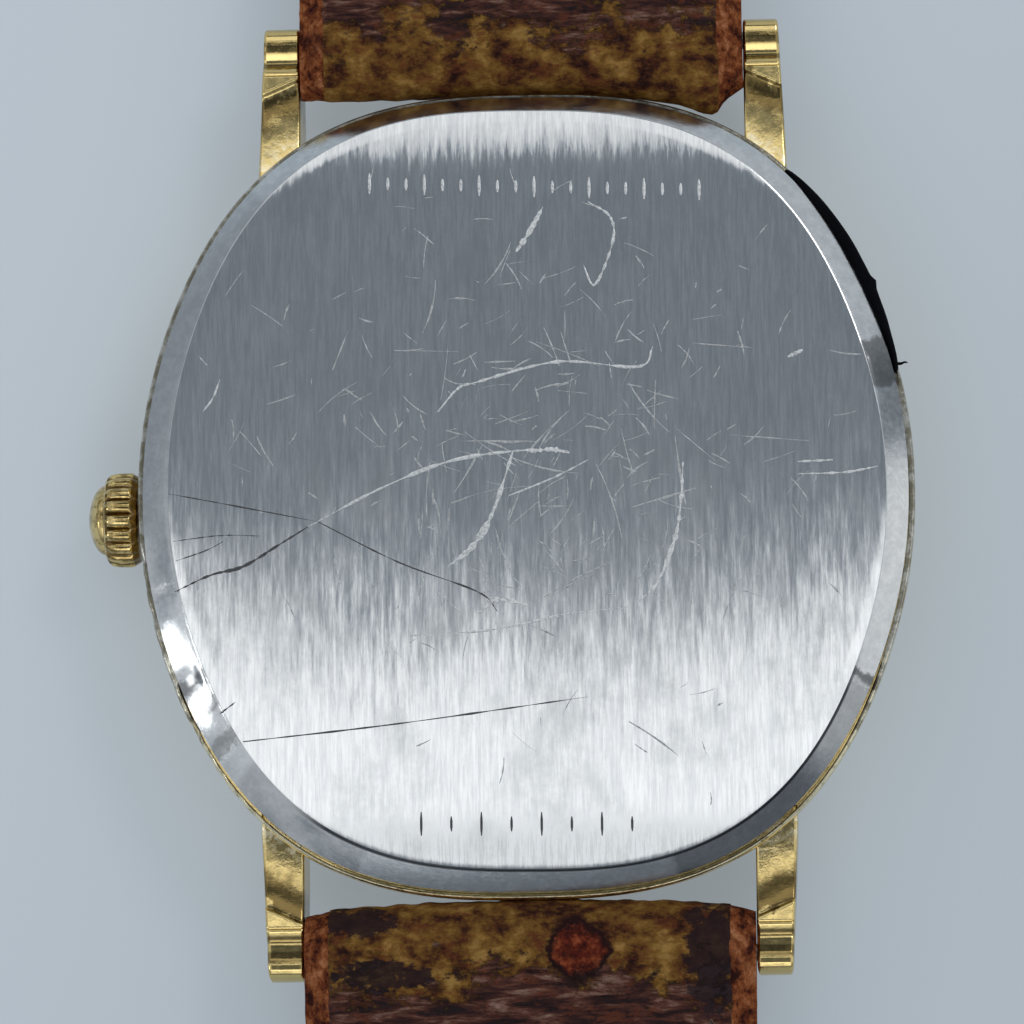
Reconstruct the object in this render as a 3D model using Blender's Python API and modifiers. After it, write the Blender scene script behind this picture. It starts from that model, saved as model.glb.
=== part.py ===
"""Quartz dress wristwatch, opened out flat and lying on its crystal.

Frame: the origin is the centre of the crystal's outer face. +X points to nine o'clock, so the crown, at
three o'clock, is towards -X. +Y points to twelve o'clock and +Z out of the case back.
Lengths below are millimetres and are turned into metres by MM when a mesh is made.
"""

import math

import bmesh
import bpy
from mathutils import Matrix, Vector

MM = 0.001

# ---------------------------------------------------------------- driving dimensions, mm
CASE_A = 15.55          # half width of the cushion outline, before its six corners
CASE_B = 16.55          # half height of the cushion outline, before its six corners
CASE_POWER = 2.32       # exponent of the cushion outline
CASE_CORNERS = 0.13     # how far the six soft corners stand out
OUTLINE_POINTS = 48
RUN = 0.04              # running clearance between turning pieces

BEZEL_Z = 0.30          # front edge of the bezel, above the crystal's face
CRYSTAL_THICK = 1.00
CRYSTAL_INSET = 1.95
DIAL_Z = 1.90
DIAL_THICK = 0.38
CASE_BACK_Z = 5.33      # face of the case that the back sits on
BACK_Z = 6.30           # outer face of the back
BACK_INNER_Z = 5.66
BACK_INSET = 0.25
BEVEL_WIDTH = 0.90
BEVEL_DROP = 0.80

STRAP_GAP = 18.0        # between the lugs
LUG_TIP_WIDTH = 1.55
LUG_ROOT_WIDTH = 1.90
BAR_Y = 18.62
BAR_Z = 4.35
LUG_TIP_RADIUS = 0.85

CROWN_RADIUS = 1.97
CROWN_RIBS = 24
STEM_Y = -0.45          # the stem lies a little below the case's middle
STEM_Z = 3.10

PLATE_RADIUS = 12.2
PLATE_Z = (2.95, 3.45)
BRIDGE_Z = (4.75, 5.05)

STRAP_WIDTH = (17.7, 16.0)      # at the lugs, at the buckle or tip
STRAP_END_THICK = 1.9
STRAP_LOOP_RADIUS = 1.72
SHORT_STRAP = 72.0              # lug bar to buckle bar
LONG_STRAP = 114.0              # lug bar to tip
LINING_THICK = 0.6
BUCKLE_BAR_Z = 2.85
HOLES = 7                       # adjustment holes
HOLE_PITCH = 6.0


# ---------------------------------------------------------------- materials
def material(name, colour, roughness, metallic):
    made = bpy.data.materials.new(name)
    made.use_nodes = True
    shader = made.node_tree.nodes["Principled BSDF"]
    shader.inputs["Base Color"].default_value = (*colour, 1.0)
    shader.inputs["Roughness"].default_value = roughness
    shader.inputs["Metallic"].default_value = metallic
    return made


for old in list(bpy.data.objects):
    bpy.data.objects.remove(old, do_unlink=True)

WATCH = bpy.data.collections.new("wristwatch")
bpy.context.scene.collection.children.link(WATCH)

GOLD = material("gold_plate", (0.62, 0.47, 0.20), 0.22, 1.0)
STEEL = material("brushed_steel", (0.56, 0.58, 0.60), 0.34, 1.0)
BRASS = material("movement_brass", (0.60, 0.48, 0.24), 0.35, 1.0)
NICKEL = material("nickel_steel", (0.50, 0.50, 0.50), 0.30, 1.0)
GLASS = material("mineral_glass", (0.85, 0.90, 0.92), 0.04, 0.0)
DIAL_PAINT = material("dial_paint", (0.86, 0.83, 0.74), 0.40, 0.0)
RUBBER = material("gasket_rubber", (0.03, 0.03, 0.03), 0.60, 0.0)
NYLON = material("nylon", (0.78, 0.78, 0.74), 0.50, 0.0)
BOARD = material("circuit_board", (0.06, 0.25, 0.12), 0.45, 0.0)
COPPER = material("copper_wire", (0.60, 0.27, 0.14), 0.35, 1.0)
MAGNET = material("magnet", (0.12, 0.12, 0.13), 0.45, 1.0)
UPPER_LEATHER = material("upper_leather", (0.16, 0.07, 0.04), 0.55, 0.0)
LINING_LEATHER = material("lining_leather", (0.23, 0.12, 0.06), 0.65, 0.0)


# ---------------------------------------------------------------- mesh helpers
def place(name, mesh, finish, origin=(0, 0, 0)):
    """Make the object of one sub-part, with its origin at a point given in mm."""
    mesh.materials.clear()
    mesh.materials.append(finish)
    mesh.shade_smooth()
    mesh.set_sharp_from_angle(angle=math.radians(30))
    mesh.transform(Matrix.Translation(Vector(origin) * -MM))
    thing = bpy.data.objects.new(name, mesh)
    thing.location = Vector(origin) * MM
    WATCH.objects.link(thing)
    return thing


def mesh_from(build):
    """Run a bmesh builder and return its mesh, with faces pointing out."""
    work = bmesh.new()
    build(work)
    bmesh.ops.recalc_face_normals(work, faces=work.faces)
    mesh = bpy.data.meshes.new("shape")
    work.to_mesh(mesh)
    work.free()
    return mesh


def evaluated_mesh(thing):
    """The mesh of an object with its modifiers or bevel applied, after which the object is removed."""
    graph = bpy.context.evaluated_depsgraph_get()
    mesh = bpy.data.meshes.new_from_object(thing.evaluated_get(graph))
    mesh.transform(thing.matrix_world)
    bpy.data.objects.remove(thing, do_unlink=True)
    return mesh


def weld(mesh):
    work = bmesh.new()
    work.from_mesh(mesh)
    bmesh.ops.remove_doubles(work, verts=work.verts, dist=1e-7)
    bmesh.ops.recalc_face_normals(work, faces=work.faces)
    work.to_mesh(mesh)
    work.free()
    return mesh


def prism(outlines, low, high, turn=None):
    """A flat outline, with any holes as further outlines, extruded from low to high along Z, in mm."""
    curve = bpy.data.curves.new("outline", "CURVE")
    curve.dimensions = "2D"
    curve.fill_mode = "BOTH"
    curve.extrude = (high - low) / 2 * MM
    for outline in outlines:
        spline = curve.splines.new("POLY")
        spline.points.add(len(outline) - 1)
        for point, (x, y) in zip(spline.points, outline):
            point.co = (x * MM, y * MM, 0, 1)
        spline.use_cyclic_u = True
    thing = bpy.data.objects.new("outline", curve)
    WATCH.objects.link(thing)
    bpy.context.view_layer.update()
    mesh = weld(evaluated_mesh(thing))
    mesh.transform(Matrix.Translation((0, 0, (low + high) / 2 * MM)))
    if turn is not None:
        mesh.transform(turn)
    return mesh


def turned(profile, steps):
    """A profile of (radius, height) points in mm, turned about Z. It is listed so that it closes on itself
    or starts and ends on the axis."""
    mesh = bpy.data.meshes.new("profile")
    closed = not (profile[0][0] == 0 and profile[-1][0] == 0)
    count = len(profile)
    edges = [(i, (i + 1) % count) for i in range(count if closed else count - 1)]
    mesh.from_pydata([(r * MM, 0, z * MM) for r, z in profile], edges, [])
    thing = bpy.data.objects.new("profile", mesh)
    WATCH.objects.link(thing)
    screw = thing.modifiers.new("Screw", "SCREW")
    screw.steps = steps
    screw.render_steps = steps
    screw.use_merge_vertices = True
    screw.merge_threshold = 1e-6
    bpy.context.view_layer.update()
    return weld(evaluated_mesh(thing))


def loft(sections, closed=False):
    """Skin a list of equal rings of (x, y, z) points in mm.

    An open skin is capped, a closed one is a tube ring."""
    def build(work):
        rings = [[work.verts.new(Vector(p) * MM) for p in ring] for ring in sections]
        pairs = list(zip(rings, rings[1:]))
        if closed:
            pairs.append((rings[-1], rings[0]))
        for ring, following in pairs:
            count = len(ring)
            for i in range(count):
                j = (i + 1) % count
                work.faces.new((ring[i], ring[j], following[j], following[i]))
        if not closed:
            work.faces.new(rings[0])
            work.faces.new(rings[-1])
    return mesh_from(build)


def combined(base, others, operation):
    """Join meshes to a base mesh, or cut them from it, with exact Booleans."""
    thing = bpy.data.objects.new("base", base)
    WATCH.objects.link(thing)
    tools = []
    for other in others:
        tool = bpy.data.objects.new("tool", other)
        WATCH.objects.link(tool)
        tools.append(tool)
        change = thing.modifiers.new("Boolean", "BOOLEAN")
        change.operation = operation
        change.object = tool
    bpy.context.view_layer.update()
    mesh = evaluated_mesh(thing)
    for tool in tools:
        bpy.data.objects.remove(tool, do_unlink=True)
    return mesh


def joined(base, *others):
    return combined(base, others, "UNION")


def cut(base, *others):
    return combined(base, others, "DIFFERENCE")


def moved(mesh, x, y, z=0.0):
    mesh.transform(Matrix.Translation(Vector((x, y, z)) * MM))
    return mesh


def about_x(mesh):
    """Lay a mesh made along Z over, so that it runs along X."""
    mesh.transform(Matrix.Rotation(math.radians(90), 4, "Y"))
    return mesh


def rod(radius, start, end, sides):
    """A plain cylinder lying along X."""
    return about_x(turned([(0, start), (radius, start), (radius, end), (0, end)], sides))


# ---------------------------------------------------------------- outlines
def circle(radius, points, centre=(0, 0), start=0.0):
    return [
        (centre[0] + radius * math.cos(start + math.tau * i / points),
         centre[1] + radius * math.sin(start + math.tau * i / points))
        for i in range(points)
    ]


def cushion(inset, points=OUTLINE_POINTS):
    """The case's cushion outline, drawn in by inset. Points are spread evenly by angle.

    Six soft corners stand out of it: one at each side and one at each lug."""
    a, b = CASE_A - inset, CASE_B - inset
    outline = []
    for i in range(points):
        angle = math.tau * (i + 0.5) / points
        c, s = math.cos(angle), math.sin(angle)
        radius = (abs(c / a) ** CASE_POWER + abs(s / b) ** CASE_POWER) ** (-1 / CASE_POWER)
        radius += CASE_CORNERS * math.cos(6 * angle)
        outline.append((radius * c, radius * s))
    return outline


def cushion_ring(profile, points=OUTLINE_POINTS):
    """A closed section of (inset, z) points carried round the cushion outline."""
    return loft([[(x, y, z) for x, y in cushion(inset, points)] for inset, z in profile], closed=True)


def cushion_plate(profile, points=OUTLINE_POINTS):
    """A solid stack of cushion outlines, given as (inset, z) from one end to the other."""
    return loft([[(x, y, z) for x, y in cushion(inset, points)] for inset, z in profile])


def box_outline(x0, y0, x1, y1):
    return [(x0, y0), (x1, y0), (x1, y1), (x0, y1)]


def sector(inner, outer, start, end, steps):
    """A ring's sector between two angles in degrees."""
    angles = [math.radians(start + (end - start) * i / steps) for i in range(steps + 1)]
    out = [(outer * math.cos(t), outer * math.sin(t)) for t in angles]
    back = [(inner * math.cos(t), inner * math.sin(t)) for t in reversed(angles)]
    return out + back


def gear_outline(teeth, pitch_radius, toward, tooth=True, coarse=False):
    """Teeth round a pitch circle. A tooth, or else a gap, points along the angle toward."""
    module = 2 * pitch_radius / teeth
    tip, root = pitch_radius + 0.85 * module, pitch_radius - 1.05 * module
    pitch = math.tau / teeth
    start = toward if tooth else toward + pitch / 2
    if coarse:
        steps = ((root, -0.5), (tip, 0.0))
    else:
        steps = ((root, -0.33), (tip, -0.11), (tip, 0.11), (root, 0.33))
    return [
        (r * math.cos(start + pitch * (i + shift)), r * math.sin(start + pitch * (i + shift)))
        for i in range(teeth) for r, shift in steps
    ]


# ---------------------------------------------------------------- case
def lug(side_x, side_y):
    """One lug: a claw-shaped side view with a rounded end, and a raised arm that ends in a slanting step."""
    tip_y = BAR_Y + LUG_TIP_RADIUS
    floor = 4.42
    profile = [(11.6, 1.75), (15.6, 1.80), (17.7, 2.20), (19.0, 2.80), (tip_y, 3.40)]
    for degrees in (0, 36, 72, 108, 140):
        angle = math.radians(degrees)
        profile.append((BAR_Y + LUG_TIP_RADIUS * math.cos(angle), BAR_Z + LUG_TIP_RADIUS * math.sin(angle)))
    profile += [(17.86, floor), (17.3, floor), (11.6, 4.62)]
    inner = STRAP_GAP / 2

    def across(y):
        share = min(1.0, max(0.0, (tip_y - y) / (tip_y - 13.0)))
        return inner + LUG_TIP_WIDTH + (LUG_ROOT_WIDTH - LUG_TIP_WIDTH) * share

    claw = loft([[(inner, y, z) for y, z in profile], [(across(y), y, z) for y, z in profile]])
    step_in, step_out, arm_top = 17.42, 16.75, 4.82
    arm = prism([[(inner + 0.02, 11.8), (inner + 0.02, step_in), (across(step_out) - 0.02, step_out),
                  (across(11.8) - 0.02, 11.8)]], 3.9, arm_top)
    made = joined(claw, arm)
    bar_hole = moved(rod(0.47, -0.5, 0.95, 10), inner, BAR_Y, BAR_Z)
    made = cut(made, bar_hole)
    made.transform(Matrix.Diagonal((side_x, side_y, 1, 1)))
    if side_x * side_y < 0:
        made.flip_normals()
    return made


def case_middle():
    """Bezel, band and four lugs in one piece, hollow from the crystal's seat to the back's seat."""
    band = cushion_ring([
        (1.78, BEZEL_Z), (1.40, BEZEL_Z), (0.42, 0.95), (0.10, 1.35), (0.0, 1.80), (0.0, 4.75),
        (0.10, 5.10), (0.34, CASE_BACK_Z), (1.30, CASE_BACK_Z), (1.30, 4.30), (1.62, 4.30),
        (1.62, DIAL_Z - 0.06), (2.45, DIAL_Z - 0.06), (2.45, 1.10), (1.78, 1.10),
    ])
    lugs = [lug(sx, sy) for sx in (1, -1) for sy in (1, -1)]
    hollow = cushion_plate([(1.50, 1.0), (1.50, 4.26), (1.20, 4.27), (1.20, 6.0)])
    lugs = [cut(each, hollow.copy()) for each in lugs]
    bpy.data.meshes.remove(hollow)
    whole = joined(band, *lugs)
    tube_hole = moved(rod(0.83, 0.0, 3.2, 16), -16.6, STEM_Y, STEM_Z)
    place("case_middle", cut(whole, tube_hole), GOLD)


def crystal():
    mesh = cushion_plate([(CRYSTAL_INSET + 0.25, 0.0), (CRYSTAL_INSET, 0.2), (CRYSTAL_INSET, CRYSTAL_THICK)])
    place("crystal", mesh, GLASS)
    seal = cushion_ring([(1.81, 0.36), (1.92, 0.36), (1.92, 1.02), (1.81, 1.02)])
    place("crystal_gasket", seal, RUBBER)


def case_back():
    """Press-fit back: flat plate, sloping edge and an inner rim that grips the case."""
    edge = BACK_INSET
    flat = edge + BEVEL_WIDTH
    rim_out, rim_in = 1.42, 1.85
    shape = cushion_plate([
        (rim_out, 4.62), (rim_out, CASE_BACK_Z + 0.03), (edge + 0.08, CASE_BACK_Z + 0.03), (edge, 5.46),
        (edge, BACK_Z - BEVEL_DROP), (flat, BACK_Z),
    ])
    hollow = cushion_plate([(rim_in, 4.0), (rim_in, BACK_INNER_Z)])
    place("case_back", cut(shape, hollow), STEEL)
    seal = cushion_ring([(1.36, 4.34), (1.58, 4.34), (1.58, 4.56), (1.36, 4.56)])
    place("back_gasket", seal, RUBBER)


# ---------------------------------------------------------------- dial and hands
DIAL_HOLE = 0.95


def dial():
    mesh = prism([cushion(1.70), circle(DIAL_HOLE, 20)], DIAL_Z, DIAL_Z + DIAL_THICK)
    place("dial", mesh, DIAL_PAINT)
    top = DIAL_Z - 0.02
    for hour, (x, y) in {12: (0, 11.9), 3: (-11.3, 0), 6: (0, -11.9), 9: (11.3, 0)}.items():
        long_x, long_y = (0.28, 1.5) if x == 0 else (1.5, 0.28)
        baton = prism([box_outline(x - long_x, y - long_y, x + long_x, y + long_y)], top - 0.16, top)
        place(f"hour_marker_{hour:02d}", baton, GOLD)


def hand(name, finish, angle, length, tail, width, low, high, boss, hole):
    """A baton hand that points along angle from its boss, seen in the frame's X-Y plane."""
    half = width / 2
    reach = math.sqrt(boss * boss - half * half)
    outline = [(half, reach), (half * 0.7, length), (-half * 0.7, length), (-half, reach)]
    turn_from = math.atan2(reach, -half)
    if tail:
        outline += arc_points(boss, turn_from, math.atan2(-reach, -half), 5)[1:-1]
        outline += [(-half, -reach), (-half, -tail), (half, -tail), (half, -reach)]
        outline += arc_points(boss, math.atan2(-reach, half), math.atan2(reach, half), 5)[1:-1]
    else:
        outline += arc_points(boss, turn_from, turn_from + math.tau - 2 * math.asin(half / boss), 14)[1:-1]
    holes = [circle(hole, 12)] if hole else []
    mesh = prism([outline, *holes], low, high)
    mesh.transform(Matrix.Rotation(angle - math.radians(90), 4, "Z"))
    place(name, mesh, finish)


def arc_points(radius, start, end, steps):
    """Points on an arc that runs anticlockwise from start to end."""
    if end < start:
        end += math.tau
    return [
        (radius * math.cos(angle), radius * math.sin(angle))
        for angle in (start + (end - start) * i / steps for i in range(steps + 1))
    ]


def hands():
    """From behind, hours run the other way round: ten past ten puts the hour hand up and to the right."""
    hand("hour_hand", GOLD, math.radians(35), 7.4, 0, 0.62, 1.60, 1.68, 1.05, 0.71)
    hand("minute_hand", GOLD, math.radians(150), 11.2, 0, 0.46, 1.42, 1.50, 0.80, 0.48)
    hand("second_hand", GOLD, math.radians(270), 11.8, 3.4, 0.20, 1.24, 1.32, 0.55, 0.15)


# ---------------------------------------------------------------- movement plates
CENTRE = (0.0, 0.0)
ARBOR = 0.12
PIVOT_HOLE = 0.17
TRAIN_DISTANCE = 2.55
MOTION_DISTANCE = 2.40


def polar(radius, degrees, centre=CENTRE):
    angle = math.radians(degrees)
    return (centre[0] + radius * math.cos(angle), centre[1] + radius * math.sin(angle))


THIRD = polar(TRAIN_DISTANCE, 100)
FIFTH = polar(2.45, 20)
ROTOR = polar(1.80, 60, FIFTH)
MINUTE_WHEEL = polar(MOTION_DISTANCE, 205)
SETTING_WHEEL = polar(3.0, 172, MINUTE_WHEEL)
BATTERY = polar(7.25, -45)
BATTERY_RADIUS = 4.72
PILLARS = ((-3.9, 4.35), (5.35, 0.85))
COIL_Y = 8.2
COIL_SCREWS = ((-5.35, COIL_Y), (5.35, COIL_Y))
CLAMP_Z = 5.12
GROOVE_X = -10.15       # middle of the stem's groove
CLUTCH_X = -8.3         # outer end of the clutch wheel
LEVER_PIVOT = (-8.85, 4.0)      # measured from the stem's line


def angle_between(here, there):
    return math.atan2(there[1] - here[1], there[0] - here[0])


def movement_ring():
    """Nylon ring that centres the round movement in the cushion case, open where the stem comes in."""
    ring = prism([cushion(1.72), circle(PLATE_RADIUS + 0.1, 40)], 2.42, 4.22)
    channel = prism([box_outline(-15.5, STEM_Y - 1.1, -11.0, STEM_Y + 1.1)], 2.0, 5.0)
    place("movement_ring", cut(ring, channel), NYLON)


def main_plate():
    """Base plate with a channel for the stem and clutch, bearing holes and the minute wheel's post."""
    holes = [circle(0.36, 14)]
    for centre in (THIRD, FIFTH, ROTOR):
        holes.append(circle(PIVOT_HOLE, 8, centre))
    for centre in (*PILLARS, *COIL_SCREWS):
        holes.append(circle(0.36, 10, centre))
    plate = prism([circle(PLATE_RADIUS, 48), *holes], *PLATE_Z)
    channel = prism([box_outline(-13.0, STEM_Y - 1.15, -5.0, STEM_Y + 1.15)], 2.0, 4.0)
    plate = cut(plate, channel)
    posts = [moved(turned([(0, 2.38), (0.26, 2.38), (0.26, 3.2), (0, 3.2)], 10), *centre)
             for centre in (MINUTE_WHEEL, SETTING_WHEEL)]
    place("main_plate", joined(plate, *posts), BRASS)


def bridge_outline():
    return [(-5.0, 4.3), (-4.4, 5.25), (-3.4, 5.3), (4.3, 3.9), (6.3, 1.6), (6.2, 0.2), (5.0, -0.2),
            (1.2, -1.3), (-1.2, -1.1), (-2.4, 0.6)]


def train_bridge():
    """Upper bearing plate of the wheel train, on two pillars that are screwed to the base plate."""
    holes = [circle(PIVOT_HOLE, 8, c) for c in (CENTRE, THIRD, FIFTH, ROTOR)]
    holes += [circle(0.36, 10, c) for c in PILLARS]
    plate = prism([bridge_outline(), *holes], *BRIDGE_Z)
    foot, head = PLATE_Z[1] + 0.02, BRIDGE_Z[0] + 0.1
    pillars = [prism([circle(0.72, 12, c), circle(0.36, 10, c)], foot, head) for c in PILLARS]
    place("train_bridge", joined(plate, *pillars), BRASS)


def screw(name, centre, head_low, length):
    """A slotted screw along Z with its head on the case back's side."""
    shape = turned([(0, head_low + 0.22), (0.62, head_low + 0.22), (0.62, head_low), (0.30, head_low),
                    (0.30, head_low - length), (0, head_low - length)], 12)
    slot = prism([box_outline(-0.7, -0.08, 0.7, 0.08)], head_low + 0.12, head_low + 0.4)
    place(name, moved(cut(shape, slot), *centre), NICKEL, (*centre, head_low))


def electrics():
    board = prism([sector(4.2, 11.6, 203, 266, 9)], PLATE_Z[1] + 0.05, 3.72)
    chip = moved(prism([box_outline(-1.1, -1.1, 1.1, 1.1)], 3.70, 4.35), *polar(5.9, 250))
    place("circuit_board", joined(board, chip), BOARD)
    can = about_x(turned([(0, -2.5), (0.55, -2.5), (0.72, -2.3), (0.72, 2.5), (0, 2.5)], 14))
    can.transform(Matrix.Rotation(math.radians(-43), 4, "Z"))
    place("quartz_crystal_can", moved(can, *polar(9.4, 226), 4.50), NICKEL)

    low = PLATE_Z[1] + 0.05
    cell = turned([(0, low + 1.6), (3.9, low + 1.6), (3.9, low + 1.42), (BATTERY_RADIUS, low + 1.42),
                   (BATTERY_RADIUS, low), (0, low)], 32)
    place("battery", moved(cell, *BATTERY), NICKEL)
    reach = polar(4.6, -45)
    clamp = [(PILLARS[1][0] - 0.7, PILLARS[1][1] + 0.6), (PILLARS[1][0] + 0.7, PILLARS[1][1] + 0.6),
             (reach[0] + 3.4, reach[1] - 1.6), (reach[0] + 2.0, reach[1] - 3.0),
             (reach[0] + 0.2, reach[1] - 0.6)]
    place("battery_clamp", prism([clamp, circle(0.36, 10, PILLARS[1])], CLAMP_Z, CLAMP_Z + 0.12), NICKEL)

    screw_holes = [circle(0.36, 10, centre) for centre in COIL_SCREWS]
    core = prism([box_outline(-6.1, COIL_Y - 0.62, 6.1, COIL_Y + 0.62), *screw_holes], 4.18, 4.38)
    winding_half = [(0, -4.3), (0.72, -4.3), (0.80, -4.2), (0.80, 4.2), (0.72, 4.3), (0, 4.3)]
    winding = moved(about_x(turned(winding_half, 16)), 0, COIL_Y, 4.28)
    place("coil", joined(winding, core), COPPER)
    arm = [(-6.1, 9.0), (-6.1, 5.6), (2.1, 5.6), (2.1, 1.35), (4.45, 1.35), (4.45, 5.6),
           (6.1, 5.6), (6.1, 9.0), (4.6, 9.0), (4.6, 6.8), (-4.6, 6.8), (-4.6, 9.0)]
    stator = prism([arm, circle(0.95, 20, ROTOR), *screw_holes], 3.80, 4.12)
    place("stator", stator, NICKEL)


# ---------------------------------------------------------------- wheels
def wheel(name, centre, parts, arbor, finish=BRASS, bore=0.0):
    """A wheel or pinion stack on an arbor. Parts are (outline, low, high), the arbor (radius, low, high)."""
    solids = []
    for outline, low, high in parts:
        solids.append(prism([outline], low, high))
    radius, low, high = arbor
    axle = prism([circle(radius, 12)], low, high)
    shape = joined(axle, *solids)
    if bore:
        shape = cut(shape, prism([circle(bore, 12)], low - 1, high + 1))
    return place(name, moved(shape, *centre), finish, (*centre, 0))


def going_train():
    """Rotor 8 > 40 fifth, 10 > 60 fourth (seconds), 8 > 60 third, 8 > 64 centre: 30 to 1 and 1 to 60."""
    to_fifth = angle_between(CENTRE, FIFTH)
    to_third = angle_between(CENTRE, THIRD)
    rotor_to_fifth = angle_between(ROTOR, FIFTH)

    place("rotor", moved(joined(
        prism([circle(0.10, 10)], 3.10, 4.92),
        prism([circle(0.74, 20)], 3.60, 4.20),
        prism([gear_outline(8, 0.30, rotor_to_fifth)], 4.40, 4.64)), *ROTOR), MAGNET, (*ROTOR, 0))
    wheel("fifth_wheel", FIFTH, [
        (gear_outline(40, 1.50, rotor_to_fifth + math.pi, tooth=False, coarse=True), 4.46, 4.58),
        (gear_outline(10, 0.35, to_fifth + math.pi), 4.14, 4.40)], (ARBOR, 3.10, 4.92))
    wheel("fourth_wheel", CENTRE, [
        (gear_outline(60, 2.10, to_fifth, tooth=False, coarse=True), 4.20, 4.34),
        (gear_outline(8, 0.30, to_third), 3.80, 4.12)], (ARBOR, 1.22, 4.92))
    wheel("third_wheel", THIRD, [
        (gear_outline(60, 2.25, to_third + math.pi, tooth=False, coarse=True), 3.86, 4.00),
        (gear_outline(8, 0.2833, to_third + math.pi), 3.52, 3.76)], (ARBOR, 3.10, 4.92))
    wheel("center_wheel", CENTRE, [
        (gear_outline(64, 2.2667, to_third, tooth=False, coarse=True), 3.56, 3.70)],
        (0.31, 2.20, 3.70), bore=ARBOR + RUN)


def motion_works():
    """Cannon pinion 12 > 36 minute wheel, 10 > 40 hour wheel: 12 to 1."""
    to_minute = angle_between(CENTRE, MINUTE_WHEEL)
    wheel("cannon_pinion", CENTRE, [(gear_outline(12, 0.60, to_minute), 2.62, 2.88)],
          (0.45, 1.40, 2.88), finish=NICKEL, bore=0.31 + RUN)
    wheel("minute_wheel", MINUTE_WHEEL, [
        (gear_outline(36, 1.80, to_minute + math.pi, tooth=False, coarse=True), 2.64, 2.82),
        (gear_outline(10, 0.48, to_minute + math.pi), 2.38, 2.70)], (0.36, 2.38, 2.82), bore=0.26 + RUN)
    wheel("hour_wheel", CENTRE, [
        (gear_outline(40, 1.92, to_minute, tooth=False, coarse=True), 2.36, 2.56)],
        (0.68, 1.58, 2.56), bore=0.45 + RUN)
    from_minute = angle_between(SETTING_WHEEL, MINUTE_WHEEL)
    wheel("setting_wheel", SETTING_WHEEL, [
        (gear_outline(24, 1.20, from_minute, coarse=True), 2.66, 2.80)], (0.36, 2.60, 2.86), bore=0.26 + RUN)


# ---------------------------------------------------------------- crown and setting parts
CROWN_INNER_X = -15.92
CROWN_DOME_FROM = -17.06
CROWN_TIP_X = -18.05
CROWN_DOME_RADIUS = 1.50


def crown_ring(x, radius, groove):
    """A ring of the crown's side: every other point is drawn in by the depth of the grooves."""
    points = CROWN_RIBS * 2
    ring = []
    for i in range(points):
        angle = math.tau * i / points
        r = radius - (groove if i % 2 == 0 else 0)
        ring.append((x, STEM_Y + r * math.cos(angle), STEM_Z + r * math.sin(angle)))
    return ring


def crown():
    """Ribbed crown with a domed end, hollow where it covers the tube."""
    sections = [
        crown_ring(CROWN_INNER_X, CROWN_RADIUS - 0.22, 0),
        crown_ring(CROWN_INNER_X - 0.10, CROWN_RADIUS, 0.16),
        crown_ring(CROWN_DOME_FROM + 0.18, CROWN_RADIUS, 0.16),
        crown_ring(CROWN_DOME_FROM + 0.04, CROWN_RADIUS - 0.20, 0.05),
        crown_ring(CROWN_DOME_FROM, CROWN_DOME_RADIUS, 0),
    ]
    for degrees in (25, 48, 70):
        angle = math.radians(degrees)
        x = CROWN_DOME_FROM + (CROWN_TIP_X - CROWN_DOME_FROM) * math.sin(angle)
        sections.append(crown_ring(x, CROWN_DOME_RADIUS * math.cos(angle), 0))
    socket = about_x(turned([(0, 0), (1.22, 0), (1.22, 1.0), (0.43, 1.0), (0.43, 1.5), (0, 1.5)], 20))
    socket.transform(Matrix.Diagonal((-1, 1, 1, 1)))
    socket.flip_normals()
    moved(socket, CROWN_INNER_X + 0.05, STEM_Y, STEM_Z)
    place("crown", cut(loft(sections), socket), GOLD, (CROWN_INNER_X, STEM_Y, STEM_Z))

    seal = about_x(turned([(0.97, 0), (1.17, 0), (1.17, 0.32), (0.97, 0.32)], 16))
    place("crown_gasket", moved(seal, -16.80, STEM_Y, STEM_Z), RUBBER)
    tube = about_x(turned([(0.56, 0), (0.78, 0), (0.78, 3.0), (0.56, 3.0)], 16))
    place("crown_tube", moved(tube, -16.62, STEM_Y, STEM_Z), NICKEL)


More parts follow.
